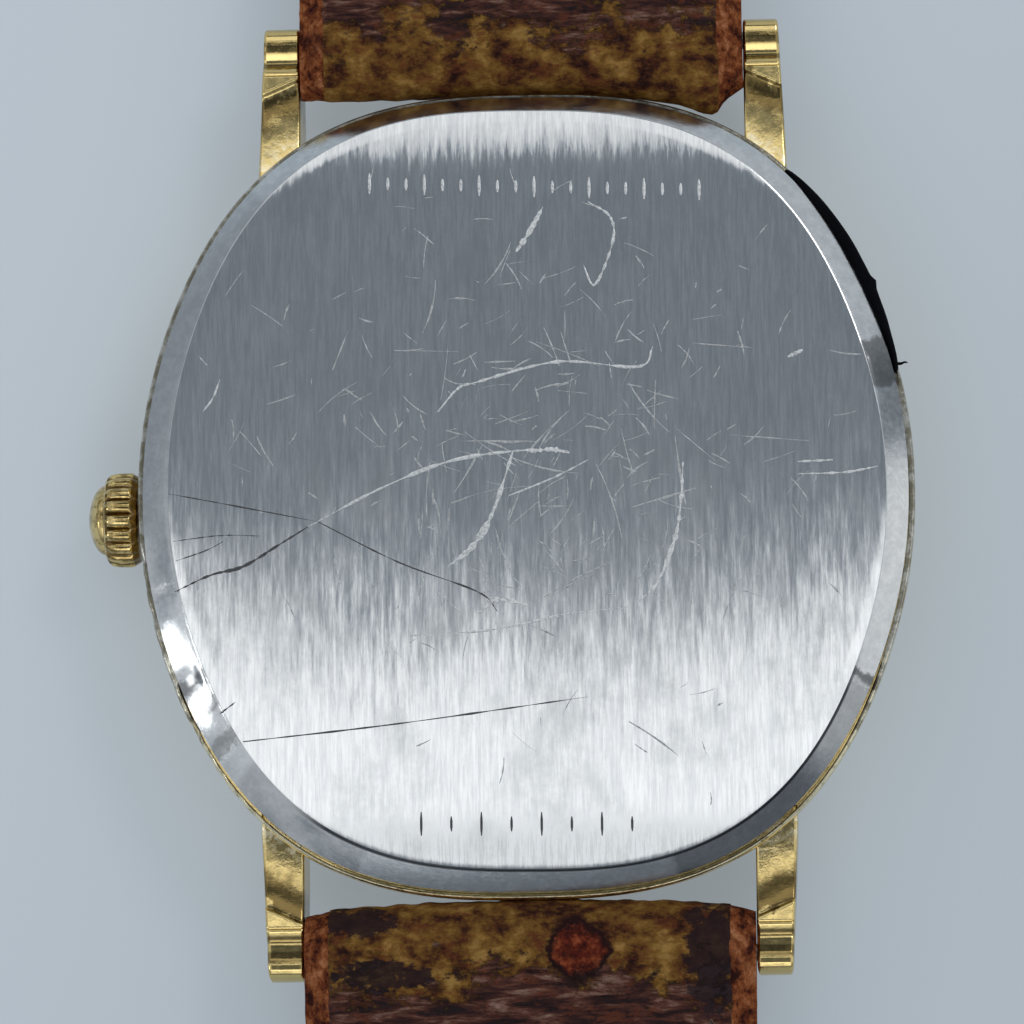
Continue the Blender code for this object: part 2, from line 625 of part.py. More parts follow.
def stem_and_clutch():
    """The stem turns and slides in the clutch's square hole; its groove takes the setting lever."""
    radius, neck = 0.38, 0.22
    groove = (GROOVE_X - 0.25, GROOVE_X + 0.25)
    round_part = about_x(turned([(0, -17.25), (radius, -17.25), (radius, groove[0]), (neck, groove[0]),
                                 (neck, groove[1]), (radius, groove[1]), (radius, -8.8), (0, -8.8)], 12))
    square_part = prism([box_outline(-8.9, -neck, -5.6, neck)], -neck, neck)
    stem = joined(round_part, square_part)
    place("stem", moved(stem, 0, STEM_Y, STEM_Z), NICKEL, (-9, STEM_Y, STEM_Z))

    square = box_outline(-0.26, -0.26, 0.26, 0.26)
    body = prism([circle(0.74, 16), square], 0.0, 0.45)
    waist = prism([circle(0.50, 16), square], 0.40, 0.95)
    teeth = prism([gear_outline(12, 0.68, 0.0), square], 0.90, 1.40)
    clutch = about_x(joined(body, waist, teeth))
    place("clutch_wheel", moved(clutch, CLUTCH_X, STEM_Y, STEM_Z), NICKEL, (CLUTCH_X, STEM_Y, STEM_Z))

    fork = CLUTCH_X + 0.50
    low, high = 3.52, 3.74
    yoke = [(fork, 0.36), (fork + 0.34, 0.36), (fork + 0.34, 1.4), (fork + 1.2, 2.4), (fork + 1.2, 6.2),
            (fork + 0.3, 6.2), (fork + 0.3, 2.8), (fork, 2.0)]
    place("yoke", moved(prism([yoke], low, high), 0, STEM_Y), NICKEL, (fork, STEM_Y + 0.36, low))
    tip = GROOVE_X
    lever = [(tip - 0.16, -0.16), (tip + 0.16, -0.16), (tip + 0.16, 1.5), (-8.6, 2.9), (-8.3, 4.4),
             (-9.2, 4.6), (-9.7, 3.0), (tip - 0.16, 1.6)]
    blade = prism([lever, circle(0.25, 10, LEVER_PIVOT)], low, high)
    pin = moved(prism([circle(0.12, 8)], 3.37, low + 0.1), tip, 0)
    place("setting_lever", moved(joined(blade, pin), 0, STEM_Y), NICKEL,
          (LEVER_PIVOT[0], STEM_Y + LEVER_PIVOT[1], low))


# ---------------------------------------------------------------- strap
def strap_line(distance, end_z):
    """Middle height and thickness of the strap at a distance from its lug bar."""
    fall = min(1.0, distance / 30.0)
    smooth = fall * fall * (3 - 2 * fall)
    thin = min(1.0, distance / 24.0)
    loop = 2 * STRAP_LOOP_RADIUS
    thickness = loop + (STRAP_END_THICK - loop) * (1 - (1 - thin) ** 2)
    return BAR_Z + (end_z - BAR_Z) * smooth, thickness


def strap_edge(end_z, first, last, depth):
    """Side view of a layer's edge as (distance, z) points, depth below the strap's wrist side.

    A depth of None is its dial side. Points are close together where the strap bends near the lugs and
    near its other end."""
    steps = 12
    edge = []
    for i in range(steps + 1):
        share = i / steps
        distance = first + (last - first) * (share * share * (3 - 2 * share))
        middle, thickness = strap_line(distance, end_z)
        fall = thickness if depth is None else depth
        edge.append((distance, middle + thickness / 2 - fall))
    return edge


def strap_half_width(distance, length, point_length):
    """Half width: tapering from lugs to the end, and drawn to a rounded point over point_length."""
    wide, narrow = STRAP_WIDTH
    half = (wide + (narrow - wide) * distance / length) / 2
    left = length - distance
    if point_length and left < point_length:
        half *= math.sqrt(max(0.0, 1 - (1 - left / point_length) ** 2)) * 0.85 + 0.15
    return half


def along_x(outlines, sign, length, point_length):
    """Extrude a side view across the strap and give it the strap's plan shape."""
    mesh = prism(outlines, -1.0, 1.0)
    for vertex in mesh.vertices:
        distance, z, side = vertex.co.x / MM, vertex.co.y / MM, vertex.co.z / MM
        across = strap_half_width(min(max(distance, 0), length), length, point_length)
        vertex.co = Vector((side * across, sign * (BAR_Y + distance), z)) * MM
    return weld(mesh)


def loop_points(centre, radius, start, end, steps):
    return [(centre[0] + radius * math.cos(math.radians(start + (end - start) * i / steps)),
             centre[1] + radius * math.sin(math.radians(start + (end - start) * i / steps)))
            for i in range(steps + 1)]


def strap_pair(sign, length, end_z, point_length, loops_at_end):
    """Upper leather, which folds round its bars, and the lining glued to its wrist side."""
    lining_from = 2.6
    lining_to = length - (5.0 if loops_at_end else 0.35)
    butt = 0.25                     # gap between the lining's ends and the upper
    under_lining = LINING_THICK + 0.03
    upper_to = length - (1.0 if loops_at_end else 0)

    outline = loop_points((0, BAR_Z), STRAP_LOOP_RADIUS, 60, 285, 9)
    outline += strap_edge(end_z, 1.2, upper_to, None)
    holes = [circle(0.80, 14, (0, BAR_Z))]
    if loops_at_end:
        outline += loop_points((length, end_z), STRAP_END_THICK / 2 + 0.12, -80, 80, 6)
        outline += strap_edge(end_z, lining_to + butt, lining_to + butt, 0)[:1]
        holes.append(circle(0.62, 12, (length, end_z)))
    outline += reversed(strap_edge(end_z, lining_from - 0.2, lining_to + 0.2, under_lining))
    outline += strap_edge(end_z, lining_from - butt, lining_from - butt, 0)[:1]
    upper = along_x([outline, *holes], sign, length, point_length)

    below = strap_edge(end_z, lining_from, lining_to, LINING_THICK)
    above = strap_edge(end_z, lining_from, lining_to, 0)
    lining = along_x([below + list(reversed(above))], sign, length, point_length)
    return upper, lining


def straps():
    upper, lining = strap_pair(1, SHORT_STRAP, BUCKLE_BAR_Z, 0, True)
    end_y = BAR_Y + SHORT_STRAP
    slot = prism([box_outline(-1.25, end_y - 3.2, 1.25, end_y + 2)], 0, 6)
    place("strap_12_upper", cut(upper, slot), UPPER_LEATHER, (0, BAR_Y, BAR_Z))
    place("strap_12_lining", lining, LINING_LEATHER, (0, BAR_Y, BAR_Z))

    upper, lining = strap_pair(-1, LONG_STRAP, STRAP_END_THICK / 2, 9.0, False)
    first_hole = -BAR_Y - LONG_STRAP + 22
    holes = [prism([circle(0.9, 10, (0, first_hole + HOLE_PITCH * i))], -1, 4) for i in range(HOLES)]
    place("strap_6_upper", cut(upper, *[h.copy() for h in holes]), UPPER_LEATHER, (0, -BAR_Y, BAR_Z))
    place("strap_6_lining", cut(lining, *holes), LINING_LEATHER, (0, -BAR_Y, BAR_Z))


def spring_bars():
    """Each bar is a tube with a sprung pin in either end that reaches into the lug."""
    for label, y in (("12", BAR_Y), ("6", -BAR_Y)):
        barrel = about_x(turned([(0.50, -8.6), (0.74, -8.6), (0.74, 8.6), (0.50, 8.6)], 14))
        place(f"spring_bar_{label}", moved(barrel, 0, y, BAR_Z), NICKEL, (0, y, BAR_Z))
        for side, sign in (("left", -1), ("right", 1)):
            pin_half = [(0, 5.6), (0.44, 5.6), (0.44, 8.72), (0.36, 8.72), (0.36, 9.80), (0, 9.80)]
            pin = about_x(turned(pin_half, 12))
            pin.transform(Matrix.Diagonal((sign, 1, 1, 1)))
            if sign < 0:
                pin.flip_normals()
            place(f"spring_bar_{label}_tip_{side}", moved(pin, 0, y, BAR_Z), NICKEL, (sign * 8.7, y, BAR_Z))


# ---------------------------------------------------------------- buckle and keepers
def buckle():
    """A tang buckle on a sprung bar through the end of the short strap."""
    bar_y = BAR_Y + SHORT_STRAP
    inner, outer = 8.15, 9.35
    front_in, front_out = bar_y + 6.6, bar_y + 8.3
    low, high = 2.05, 3.65
    outline = [(-outer, bar_y - 1.1), (-inner, bar_y - 1.1), (-inner, front_in), (inner, front_in),
               (inner, bar_y - 1.1), (outer, bar_y - 1.1), (outer, front_out - 1.2), (outer - 1.2, front_out),
               (1.2 - outer, front_out), (-outer, front_out - 1.2)]
    frame = prism([outline], low, high)
    bore = moved(rod(0.55, -9.0, 9.0, 10), 0, bar_y, BUCKLE_BAR_Z)
    place("buckle_frame", cut(frame, bore), GOLD, (0, bar_y, BUCKLE_BAR_Z))
    bar = moved(rod(0.50, -8.95, 8.95, 12), 0, bar_y, BUCKLE_BAR_Z)
    place("buckle_bar", bar, NICKEL, (0, bar_y, BUCKLE_BAR_Z))

    ring = about_x(prism([circle(1.0, 14), circle(0.56, 12)], -0.9, 0.9))
    ring = moved(ring, 0, bar_y, BUCKLE_BAR_Z)
    side = [(bar_y + 0.75, BUCKLE_BAR_Z - 0.65), (bar_y + 0.85, BUCKLE_BAR_Z + 0.25), (bar_y + 6.0, 1.95),
            (front_out + 0.1, 1.95), (front_out + 0.1, 1.35), (bar_y + 5.8, 1.25)]
    shank = prism([side], -0.75, 0.75)
    shank.transform(Matrix(((0, 0, 1, 0), (1, 0, 0, 0), (0, 1, 0, 0), (0, 0, 0, 1))))
    place("buckle_tongue", joined(ring, shank), GOLD, (0, bar_y, BUCKLE_BAR_Z))


def keeper(name, distance):
    """A leather loop round the strap, with room on the dial side for the strap's other end."""
    low_gap = 1.1
    y = BAR_Y + distance
    middle, thickness = strap_line(distance, BUCKLE_BAR_Z)
    half = strap_half_width(distance, SHORT_STRAP, 0) + 0.25
    top, bottom = middle + thickness / 2 + 0.12, middle - thickness / 2 - low_gap
    wall = 0.75
    outer = box_outline(-half - wall, bottom - wall, half + wall, top + wall)
    inner = box_outline(-half, bottom, half, top)
    ring = prism([outer, inner], -2.2, 2.2)
    ring.transform(Matrix(((1, 0, 0, 0), (0, 0, -1, 0), (0, 1, 0, 0), (0, 0, 0, 1))))
    place(name, moved(ring, 0, y), UPPER_LEATHER, (0, y, middle))


case_middle()
crystal()
case_back()
dial()
hands()
movement_ring()
main_plate()
train_bridge()
screw("bridge_screw_a", PILLARS[0], BRIDGE_Z[1] + 0.02, 1.6)
screw("bridge_screw_b", PILLARS[1], CLAMP_Z + 0.14, 1.8)
for label, centre in zip("ab", COIL_SCREWS):
    screw(f"coil_screw_{label}", centre, 4.40, 1.2)
electrics()
going_train()
motion_works()
crown()
stem_and_clutch()
straps()
spring_bars()
buckle()
keeper("fixed_keeper", SHORT_STRAP - 6.5)
keeper("free_keeper", SHORT_STRAP - 18.0)
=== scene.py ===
"""Looks of the dress watch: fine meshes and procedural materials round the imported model.

Lengths are in millimetres and become metres when a mesh is made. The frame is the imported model's: +X to nine
o'clock, +Y to twelve o'clock, +Z out of the case back, with the crystal lying on the floor at z = 0.
"""

import math
import random

import bmesh
import bpy
import numpy as np
from mathutils import Matrix, Vector, noise


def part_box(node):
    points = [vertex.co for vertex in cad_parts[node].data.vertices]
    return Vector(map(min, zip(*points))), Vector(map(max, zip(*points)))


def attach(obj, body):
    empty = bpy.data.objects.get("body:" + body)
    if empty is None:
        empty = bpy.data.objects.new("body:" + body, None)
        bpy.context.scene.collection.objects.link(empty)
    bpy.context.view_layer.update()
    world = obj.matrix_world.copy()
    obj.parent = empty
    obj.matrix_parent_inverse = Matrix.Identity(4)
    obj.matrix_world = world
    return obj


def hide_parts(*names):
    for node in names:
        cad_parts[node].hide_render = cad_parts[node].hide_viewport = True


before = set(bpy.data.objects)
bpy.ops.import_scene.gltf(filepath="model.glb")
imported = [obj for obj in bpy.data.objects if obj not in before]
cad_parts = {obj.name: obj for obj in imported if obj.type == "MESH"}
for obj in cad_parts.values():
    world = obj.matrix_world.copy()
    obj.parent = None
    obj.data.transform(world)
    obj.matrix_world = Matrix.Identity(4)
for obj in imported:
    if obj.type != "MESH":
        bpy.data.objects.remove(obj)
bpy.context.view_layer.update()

MM = 0.001


# ---------------------------------------------------------------- sizes, from the frame where it has them
def size_of(node):
    """Lowest and highest corner of a CAD node, in mm."""
    low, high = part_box(node)
    return Vector(low) / MM, Vector(high) / MM


BACK_LOW, BACK_HIGH = size_of("case_back")
CROWN_LOW, CROWN_HIGH = size_of("crown")
BAR_LOW, BAR_HIGH = size_of("spring_bar_12")
BAR_Y, BAR_Z = (BAR_LOW.y + BAR_HIGH.y) / 2, (BAR_LOW.z + BAR_HIGH.z) / 2
BUCKLE_BAR_LOW, BUCKLE_BAR_HIGH = size_of("buckle_bar")
BUCKLE_Y = (BUCKLE_BAR_LOW.y + BUCKLE_BAR_HIGH.y) / 2
BUCKLE_Z = (BUCKLE_BAR_LOW.z + BUCKLE_BAR_HIGH.z) / 2

CASE_POWER = 2.32
CASE_CORNERS = 0.13                     # how far the outline's six soft corners stand out
BACK_INSET = 0.27                       # the back's edge, in from the case's outline
CASE_A = BACK_HIGH.x + BACK_INSET - CASE_CORNERS
CASE_B = BACK_HIGH.y + BACK_INSET + CASE_CORNERS
BACK_Z = BACK_HIGH.z
SEAT_Z = 5.33                           # where the back meets the case
BEVEL_WIDTH_X, BEVEL_WIDTH_Y, BEVEL_DROP = 0.99, 0.76, 0.70
FLAT_SHIFT = (0.10, 0.06)               # the flat was ground off centre
FLAT_SKEW = -0.10                       # and a little askew

LUG_INNER = 9.04
LUG_TIP_Y = BAR_Y + 0.88
LUG_TIP_WIDTH, LUG_ROOT_WIDTH = 1.42, 1.70
STEP_INNER, STEP_OUTER = 2.16, 2.84     # where the slanting step crosses the lug's two sides, from its tip

STRAP_WIDTH = (18.0, 16.0)
STRAP_LOOP_HALF = 1.72                  # half the thickness round the spring bar
STRAP_THICK = 1.9
SHORT_STRAP = BUCKLE_Y - BAR_Y
LONG_STRAP = -BAR_Y - size_of("strap_6_upper")[0].y
POINT_LENGTH = 9.0


# ---------------------------------------------------------------- mesh helpers
def linked(name, data):
    """A new object in the scene."""
    thing = bpy.data.objects.new(name, data)
    bpy.context.scene.collection.objects.link(thing)
    return thing


def finished(name, points, faces, finishes, body, slot, replaced=(), choose=None, sharp=38.0, merge=1e-4):
    """Make a piece from points in mm and ride it on its body. Its slot is not used.

    choose(centre, normal) gives the index of a face's finish, with the centre in mm."""
    work = bmesh.new()
    made = [work.verts.new(Vector(p) * MM) for p in points]
    for face in faces:
        if len(set(face)) > 2:
            work.faces.new([made[i] for i in face])
    bmesh.ops.remove_doubles(work, verts=work.verts, dist=merge * MM)
    bmesh.ops.recalc_face_normals(work, faces=work.faces)
    if choose:
        for face in work.faces:
            face.material_index = choose(face.calc_center_median() / MM, face.normal)
    mesh = bpy.data.meshes.new(name)
    work.to_mesh(mesh)
    work.free()
    for finish in finishes:
        mesh.materials.append(finish)
    mesh.shade_smooth()
    mesh.set_sharp_from_angle(angle=math.radians(sharp))
    piece = linked(name, mesh)
    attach(piece, body)
    if replaced:
        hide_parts(*replaced)
    return piece


def grid_faces(rows, columns, first=0, rows_closed=False, columns_closed=False):
    faces = []
    for i in range(rows if rows_closed else rows - 1):
        for j in range(columns if columns_closed else columns - 1):
            a = first + i * columns + j
            b = first + i * columns + (j + 1) % columns
            c = first + (i + 1) % rows * columns + (j + 1) % columns
            d = first + (i + 1) % rows * columns + j
            faces.append((a, b, c, d))
    return faces


def tube(rings, rings_closed=False):
    """Points and faces of a skin over equal closed rings. Its ends are capped unless the rings close too."""
    rings = np.asarray(rings, float)
    rows, columns, _ = rings.shape
    faces = grid_faces(rows, columns, rows_closed=rings_closed, columns_closed=True)
    if not rings_closed:
        faces.append(tuple(range(columns)))
        faces.append(tuple(range((rows - 1) * columns, rows * columns)))
    return rings.reshape(-1, 3), faces


def slab(top, bottom):
    """Points and faces of a solid between two grids of the same shape, with walls round its rim."""
    top, bottom = np.asarray(top, float), np.asarray(bottom, float)
    rows, columns, _ = top.shape
    count = rows * columns
    faces = grid_faces(rows, columns) + grid_faces(rows, columns, first=count)
    rim = [(i, 0) for i in range(rows)] + [(rows - 1, j) for j in range(1, columns)]
    rim += [(i, columns - 1) for i in range(rows - 2, -1, -1)] + [(0, j) for j in range(columns - 2, 0, -1)]
    rim = [i * columns + j for i, j in rim]
    for a, b in zip(rim, rim[1:] + rim[:1]):
        faces.append((a, b, b + count, a + count))
    return np.concatenate([top.reshape(-1, 3), bottom.reshape(-1, 3)]), faces


def together(shapes):
    """Several (points, faces) shapes as one."""
    points, faces, count = [], [], 0
    for more, its_faces in shapes:
        points.append(np.asarray(more, float))
        faces += [tuple(i + count for i in face) for face in its_faces]
        count += len(more)
    return np.concatenate(points), faces


def smoothstep(low, high, value):
    share = np.clip((np.asarray(value, float) - low) / (high - low), 0, 1)
    return share * share * (3 - 2 * share)


def wobble(x, y, z=0.0, scale=1.0):
    """Smooth noise from -1 to 1 over a place in mm."""
    return noise.noise(Vector((x * scale, y * scale, z * scale)))


def along_table(table, place):
    """The value at a place between the rows of a table of places and values."""
    places, values = zip(*table)
    return float(np.interp(place, places, values))


def turns(count):
    """Angles evenly round a circle."""
    return [math.tau * i / count for i in range(count)]


def eased(points, steps):
    """A smooth line through given points (Catmull-Rom)."""
    points = [Vector(p) for p in points]
    ends = [points[0] * 2 - points[1]] + points + [points[-1] * 2 - points[-2]]
    line = []
    for a, b, c, d in zip(ends, ends[1:], ends[2:], ends[3:]):
        for i in range(steps):
            t = i / steps
            line.append(0.5 * (2 * b + (c - a) * t + (2 * a - 5 * b + 4 * c - d) * t ** 2
                               + (3 * b - a - 3 * c + d) * t ** 3))
    line.append(points[-1])
    return line


def cushion(inset, inset_y=None, count=360):
    """The case's outline, drawn in by inset."""
    a, b = CASE_A - inset, CASE_B - (inset if inset_y is None else inset_y)
    angle = np.array(turns(count))
    c, s = np.cos(angle), np.sin(angle)
    radius = (np.abs(c / a) ** CASE_POWER + np.abs(s / b) ** CASE_POWER) ** (-1 / CASE_POWER)
    radius += CASE_CORNERS * np.cos(6 * angle)
    return np.stack([radius * c, radius * s], axis=1)


def pushed_out(outline, by):
    """An outline moved outwards from its middle, by one distance or by one for each of its points."""
    return outline * (1 + by / np.linalg.norm(outline, axis=1))[:, None]


def flat_outline():
    """Edge of the back's flat."""
    outline = cushion(BACK_INSET + BEVEL_WIDTH_X, BACK_INSET + BEVEL_WIDTH_Y)
    angle = np.arctan2(outline[:, 1], outline[:, 0])
    return pushed_out(outline, FLAT_SKEW * np.sin(2 * angle)) + np.array(FLAT_SHIFT)


def at_height(outline, z):
    """An outline as a ring in space. z is one height, or one for each of its points."""
    return np.column_stack([outline, np.full(len(outline), z)])


def inside_back(x, y, inset):
    return (abs(x) / (CASE_A - inset)) ** CASE_POWER + (abs(y) / (CASE_B - inset)) ** CASE_POWER < 1


# ---------------------------------------------------------------- node helpers
def fill(tree, socket, value):
    """Link a value to a socket, or set the socket to a constant."""
    if isinstance(value, Value):
        tree.links.new(value.socket, socket)
    elif socket.type == "RGBA":
        socket.default_value = (*value, 1.0)
    else:
        socket.default_value = value


class Value:
    """A number, colour or direction in a node tree, with the usual arithmetic for numbers."""

    def __init__(self, tree, socket):
        self.tree, self.socket = tree, socket

    def worked(self, operation, *others):
        made = self.tree.nodes.new("ShaderNodeMath")
        made.operation = operation
        for socket, value in zip(made.inputs, (self, *others)):
            fill(self.tree, socket, value)
        return Value(self.tree, made.outputs[0])

    def __add__(self, other):
        return self.worked("ADD", other)

    def __sub__(self, other):
        return self.worked("SUBTRACT", other)

    def __rsub__(self, other):
        return self.worked("MULTIPLY_ADD", -1.0, other)

    def __mul__(self, other):
        return self.worked("MULTIPLY", other)

    def __truediv__(self, other):
        return self.worked("DIVIDE", other)

    def __abs__(self):
        return self.worked("ABSOLUTE")

    def ranged(self, low, high, to_low=0.0, to_high=1.0):
        """Carried smoothly from one range to another, and held at its ends."""
        made = self.tree.nodes.new("ShaderNodeMapRange")
        made.interpolation_type = "SMOOTHSTEP"
        ends = {"From Min": low, "From Max": high, "To Min": to_low, "To Max": to_high}
        for name, value in ({"Value": self} | ends).items():
            fill(self.tree, made.inputs[name], value)
        return Value(self.tree, made.outputs[0])

    def inside(self, low, high, soft):
        """1 between low and high and 0 outside them, with soft ends."""
        return self.ranged(low - soft, low + soft) * self.ranged(high - soft, high + soft, 1.0, 0.0)


class Nodes:
    """A node tree, with short ways to add to it."""

    def __init__(self, tree):
        self.tree = tree

    def node(self, kind, output, settings=None, **inputs):
        """One output of a new node. An input's name has _ for each space, or is in_ and its number."""
        made = self.tree.nodes.new("ShaderNode" + kind)
        for name, value in (settings or {}).items():
            setattr(made, name, value)
        for name, value in inputs.items():
            place = int(name[3:]) if name.startswith("in_") else name.replace("_", " ")
            fill(self.tree, made.inputs[place], value)
        return Value(self.tree, made.outputs[output])

    def vector(self, operation, *vectors):
        places = {f"in_{i}": vector for i, vector in enumerate(vectors)}
        return self.node("VectorMath", 0, {"operation": operation}, **places)

    def split(self, vector):
        return [self.node("SeparateXYZ", axis, Vector=vector) for axis in "XYZ"]

    def mix(self, share, a, b, blend="MIX"):
        return self.node("Mix", 2, {"data_type": "RGBA", "blend_type": blend}, in_0=share, in_6=a, in_7=b)

    def ramp(self, value, *stops):
        """Colours along a value, given as (position, colour)."""
        made = self.tree.nodes.new("ShaderNodeValToRGB")
        fill(self.tree, made.inputs["Fac"], value)
        elements = made.color_ramp.elements
        for index, (position, colour) in enumerate(stops):
            stop = elements[index] if index < 2 else elements.new(position)
            stop.position = position
            stop.color = (*colour, 1.0)
        return Value(self.tree, made.outputs["Color"])


class Finish(Nodes):
    """A material under construction."""

    def __init__(self, name, colour, roughness, metallic=0.0, **sockets):
        self.material = bpy.data.materials.new(name)
        self.material.use_nodes = True
        super().__init__(self.material.node_tree)
        self.place = self.node("TexCoord", "Object")
        self.put(Base_Color=colour, Roughness=roughness, Metallic=metallic, **sockets)

    def put(self, **sockets):
        shader = self.tree.nodes["Principled BSDF"]
        for name, value in sockets.items():
            fill(self.tree, shader.inputs[name.replace("_", " ")], value)

    def scaled(self, x, y, z):
        """Object coordinates with so many features to the millimetre along each axis."""
        return self.node("Mapping", "Vector", Vector=self.place, Scale=(x / MM, y / MM, z / MM))

    def noise(self, x, y=None, z=None, detail=3.0, rough=0.55, distortion=0.0):
        y = x if y is None else y
        z = x if z is None else z
        return self.node("TexNoise", "Fac", Vector=self.scaled(x, y, z), Scale=1.0, Detail=detail,
                         Roughness=rough, Distortion=distortion)

    def bump(self, height, distance, **below):
        """Bump of a height in mm. Normal is a bump that it lies on."""
        return self.node("Bump", "Normal", Height=height, Distance=distance * MM, **below)

    def axes(self):
        return [along / MM for along in self.split(self.place)]


# ---------------------------------------------------------------- metals
def brushed_back():
    """Steel brushed lengthwise, with the shallow hollows and dull smears of years on a wrist.

    The plate bends back a little towards its two sides, its twelve o'clock edge is rubbed round, and the
    opposite edge is scuffed."""
    finish = Finish("brushed_back", (0.60, 0.62, 0.64), 0.13, 1.0, Anisotropic=1.0)
    x, y, _ = finish.axes()
    streak = finish.noise(8.0, 0.55, 0.1, detail=4.0, rough=0.75)
    lie = finish.noise(4.5, 0.45, 0.1, detail=4.0, rough=0.75)
    waves = finish.noise(0.22, 0.20, 0.1, detail=2.0)
    smears = finish.noise(0.45, 0.30, 0.1, detail=6.0, rough=0.7)
    side = x / CASE_A
    rubbed_and_sheen = ((lie - 0.5) * 2.4 + y).ranged(10.4, 15.8, 0.0, 0.082)
    along = (lie - 0.5) * 0.022 + (waves - 0.5) * 0.006 + side * side * -0.0046 + rubbed_and_sheen
    across = (streak - 0.5) * 0.20
    level = finish.node("NewGeometry", "Normal")
    tilted = finish.vector("ADD", level, finish.node("CombineXYZ", 0, X=across, Y=along))
    tone = finish.mix(streak.ranged(0.30, 0.70), (0.52, 0.54, 0.56), (0.68, 0.70, 0.71))
    tone = finish.mix(smears.ranged(0.45, 0.70, 0.0, 0.60), tone, (0.46, 0.48, 0.49))
    scuffed = y.ranged(-12.6, -14.6) * streak.ranged(0.42, 0.58, 0.25, 1.0)
    finish.put(Base_Color=finish.mix(scuffed * 0.7, tone, (0.33, 0.35, 0.36)),
               Roughness=smears.ranged(0.35, 0.75, 0.10, 0.16),
               Normal=finish.vector("NORMALIZE", tilted),
               Tangent=finish.vector("CROSS_PRODUCT", (0.0, 1.0, 0.0), level))
    return finish.material


# Stretches of the back's sloping edge whose colour is darkened as painted dark reflections: from and to azimuth
# in degrees, and the share of its brightness that is left there. Between them it is unchanged.
EDGE_PAINTED_DARK = [(15.2, 22.8, 0.42), (131.0, 196.0, 0.84), (208.5, 210.5, 0.45), (213.0, 215.0, 0.50),
             (218.5, 221.0, 0.55), (225.0, 246.0, 0.80), (291.0, 328.8, 0.66), (329.2, 330.6, 0.30)]


def polished_steel():
    """The back's sloping edge: a worn polish, with dark reflections painted into its colour in stretches round
    it and as a dark line along its top by six o'clock.
    """
    finish = Finish("polished_steel", (0.60, 0.62, 0.63), 0.14, 1.0)
    x, y, z = finish.axes()
    hollows = finish.noise(0.35, detail=2.0, rough=0.5)
    hair = finish.noise(4.0, 4.0, 9.0, detail=5.0, rough=0.75)
    specks = finish.noise(2.2, detail=4.0, rough=0.7)
    azimuth = (y.worked("ARCTAN2", x).worked("DEGREES") + 360.0).worked("MODULO", 360.0)
    azimuth = (specks - 0.5) * 3.0 + azimuth
    tone = finish.mix(specks.ranged(0.35, 0.70), (0.56, 0.58, 0.59), (0.66, 0.68, 0.69))
    tone = finish.mix(hair.ranged(0.5, 0.8, 0.0, 0.30), tone, (0.46, 0.48, 0.49))
    # painted reflections: the edge's colour is darkened in each listed stretch
    for start, end, left in EDGE_PAINTED_DARK:
        tone = finish.mix(azimuth.inside(start, end, 0.5), tone,
                          finish.mix(1.0, tone, (left, left, left), "MULTIPLY"))
    # painted dark reflection: a dark line along the top of the slope by six o'clock
    dirt_and_shade = azimuth.inside(236.0, 330.0, 4.0) * z.ranged(BACK_Z - 0.10, BACK_Z - 0.05)
    finish.put(Base_Color=finish.mix(dirt_and_shade, tone, (0.05, 0.055, 0.06)),
               Roughness=hair.ranged(0.3, 0.75, 0.10, 0.22),
               Normal=finish.bump(hair, 0.004, Normal=finish.bump(hollows, 0.03)))
    return finish.material


GOLD_TONE = (0.74, 0.57, 0.25)


def worn_gold(name, dents_by, grain, dirt_from=0.55, dirt_share=0.45):
    """Gold-tone plate, soft from polishing, with dirt in its hollows."""
    finish = Finish(name, GOLD_TONE, 0.17, 1.0)
    dents = finish.noise(0.55, detail=2.0, rough=0.5)
    fine = finish.noise(grain, detail=5.0, rough=0.7)
    dirt_and_shade = finish.noise(1.3, detail=6.0, rough=0.75).ranged(dirt_from, dirt_from + 0.15, 0.0, dirt_share)
    tone = finish.mix(dirt_and_shade, GOLD_TONE, (0.27, 0.19, 0.07))
    finish.put(Base_Color=finish.mix(fine.ranged(0.60, 0.76, 0.0, 0.6), tone, (0.84, 0.76, 0.54)),
               Roughness=fine.ranged(0.3, 0.75, 0.09, 0.24),
               Normal=finish.bump(fine, 0.005, Normal=finish.bump(dents, dents_by)))
    return finish.material


def lug_gold():
    """Worn gold, with shade painted dark into the hollow by the slanting step, on the bead's far slope and in
    the groove past it, and pale flecks further up that are partly rubbed plate and partly a painted highlight.
    """
    finish = Finish("lug_gold", GOLD_TONE, 0.16, 1.0)
    x, y, _ = finish.axes()
    patches = finish.noise(1.0, detail=4.0, rough=0.65)
    fine = finish.noise(3.0, detail=5.0, rough=0.7)
    from_tip = LUG_TIP_Y - abs(y)
    step = (abs(x) - LUG_INNER) * ((STEP_OUTER - STEP_INNER) / LUG_TIP_WIDTH) + STEP_INNER
    past = (patches - 0.5) * 2.4 + (from_tip - step)
    hollow = past.ranged(0.0, 0.25) * past.ranged(0.9, 2.0, 1.0, 0.0)
    bead = from_tip.ranged(0.62, 0.74) * from_tip.ranged(1.08, 1.22, 1.0, 0.0)
    foot = from_tip.ranged(1.46, 1.54) * from_tip.ranged(1.70, 1.82, 1.0, 0.0)
    # painted shade: the hollow past the step, the bead's far slope and the groove take the dark colour below
    painted_shade = hollow.worked("MAXIMUM", bead.worked("MAXIMUM", foot) * 0.8)
    # pale flecks past the step: partly rubbed plate, partly a painted highlight
    rubbed_and_sheen = past.ranged(2.0, 3.4) * fine.ranged(0.44, 0.56)
    tone = finish.mix(rubbed_and_sheen, (0.70, 0.54, 0.23), (0.92, 0.82, 0.56))
    finish.put(Base_Color=finish.mix(painted_shade * 0.86, tone, (0.13, 0.085, 0.028)),
               Roughness=fine.ranged(0.3, 0.7, 0.09, 0.22),
               Normal=finish.bump(fine, 0.005, Normal=finish.bump(patches, 0.018)))
    return finish.material


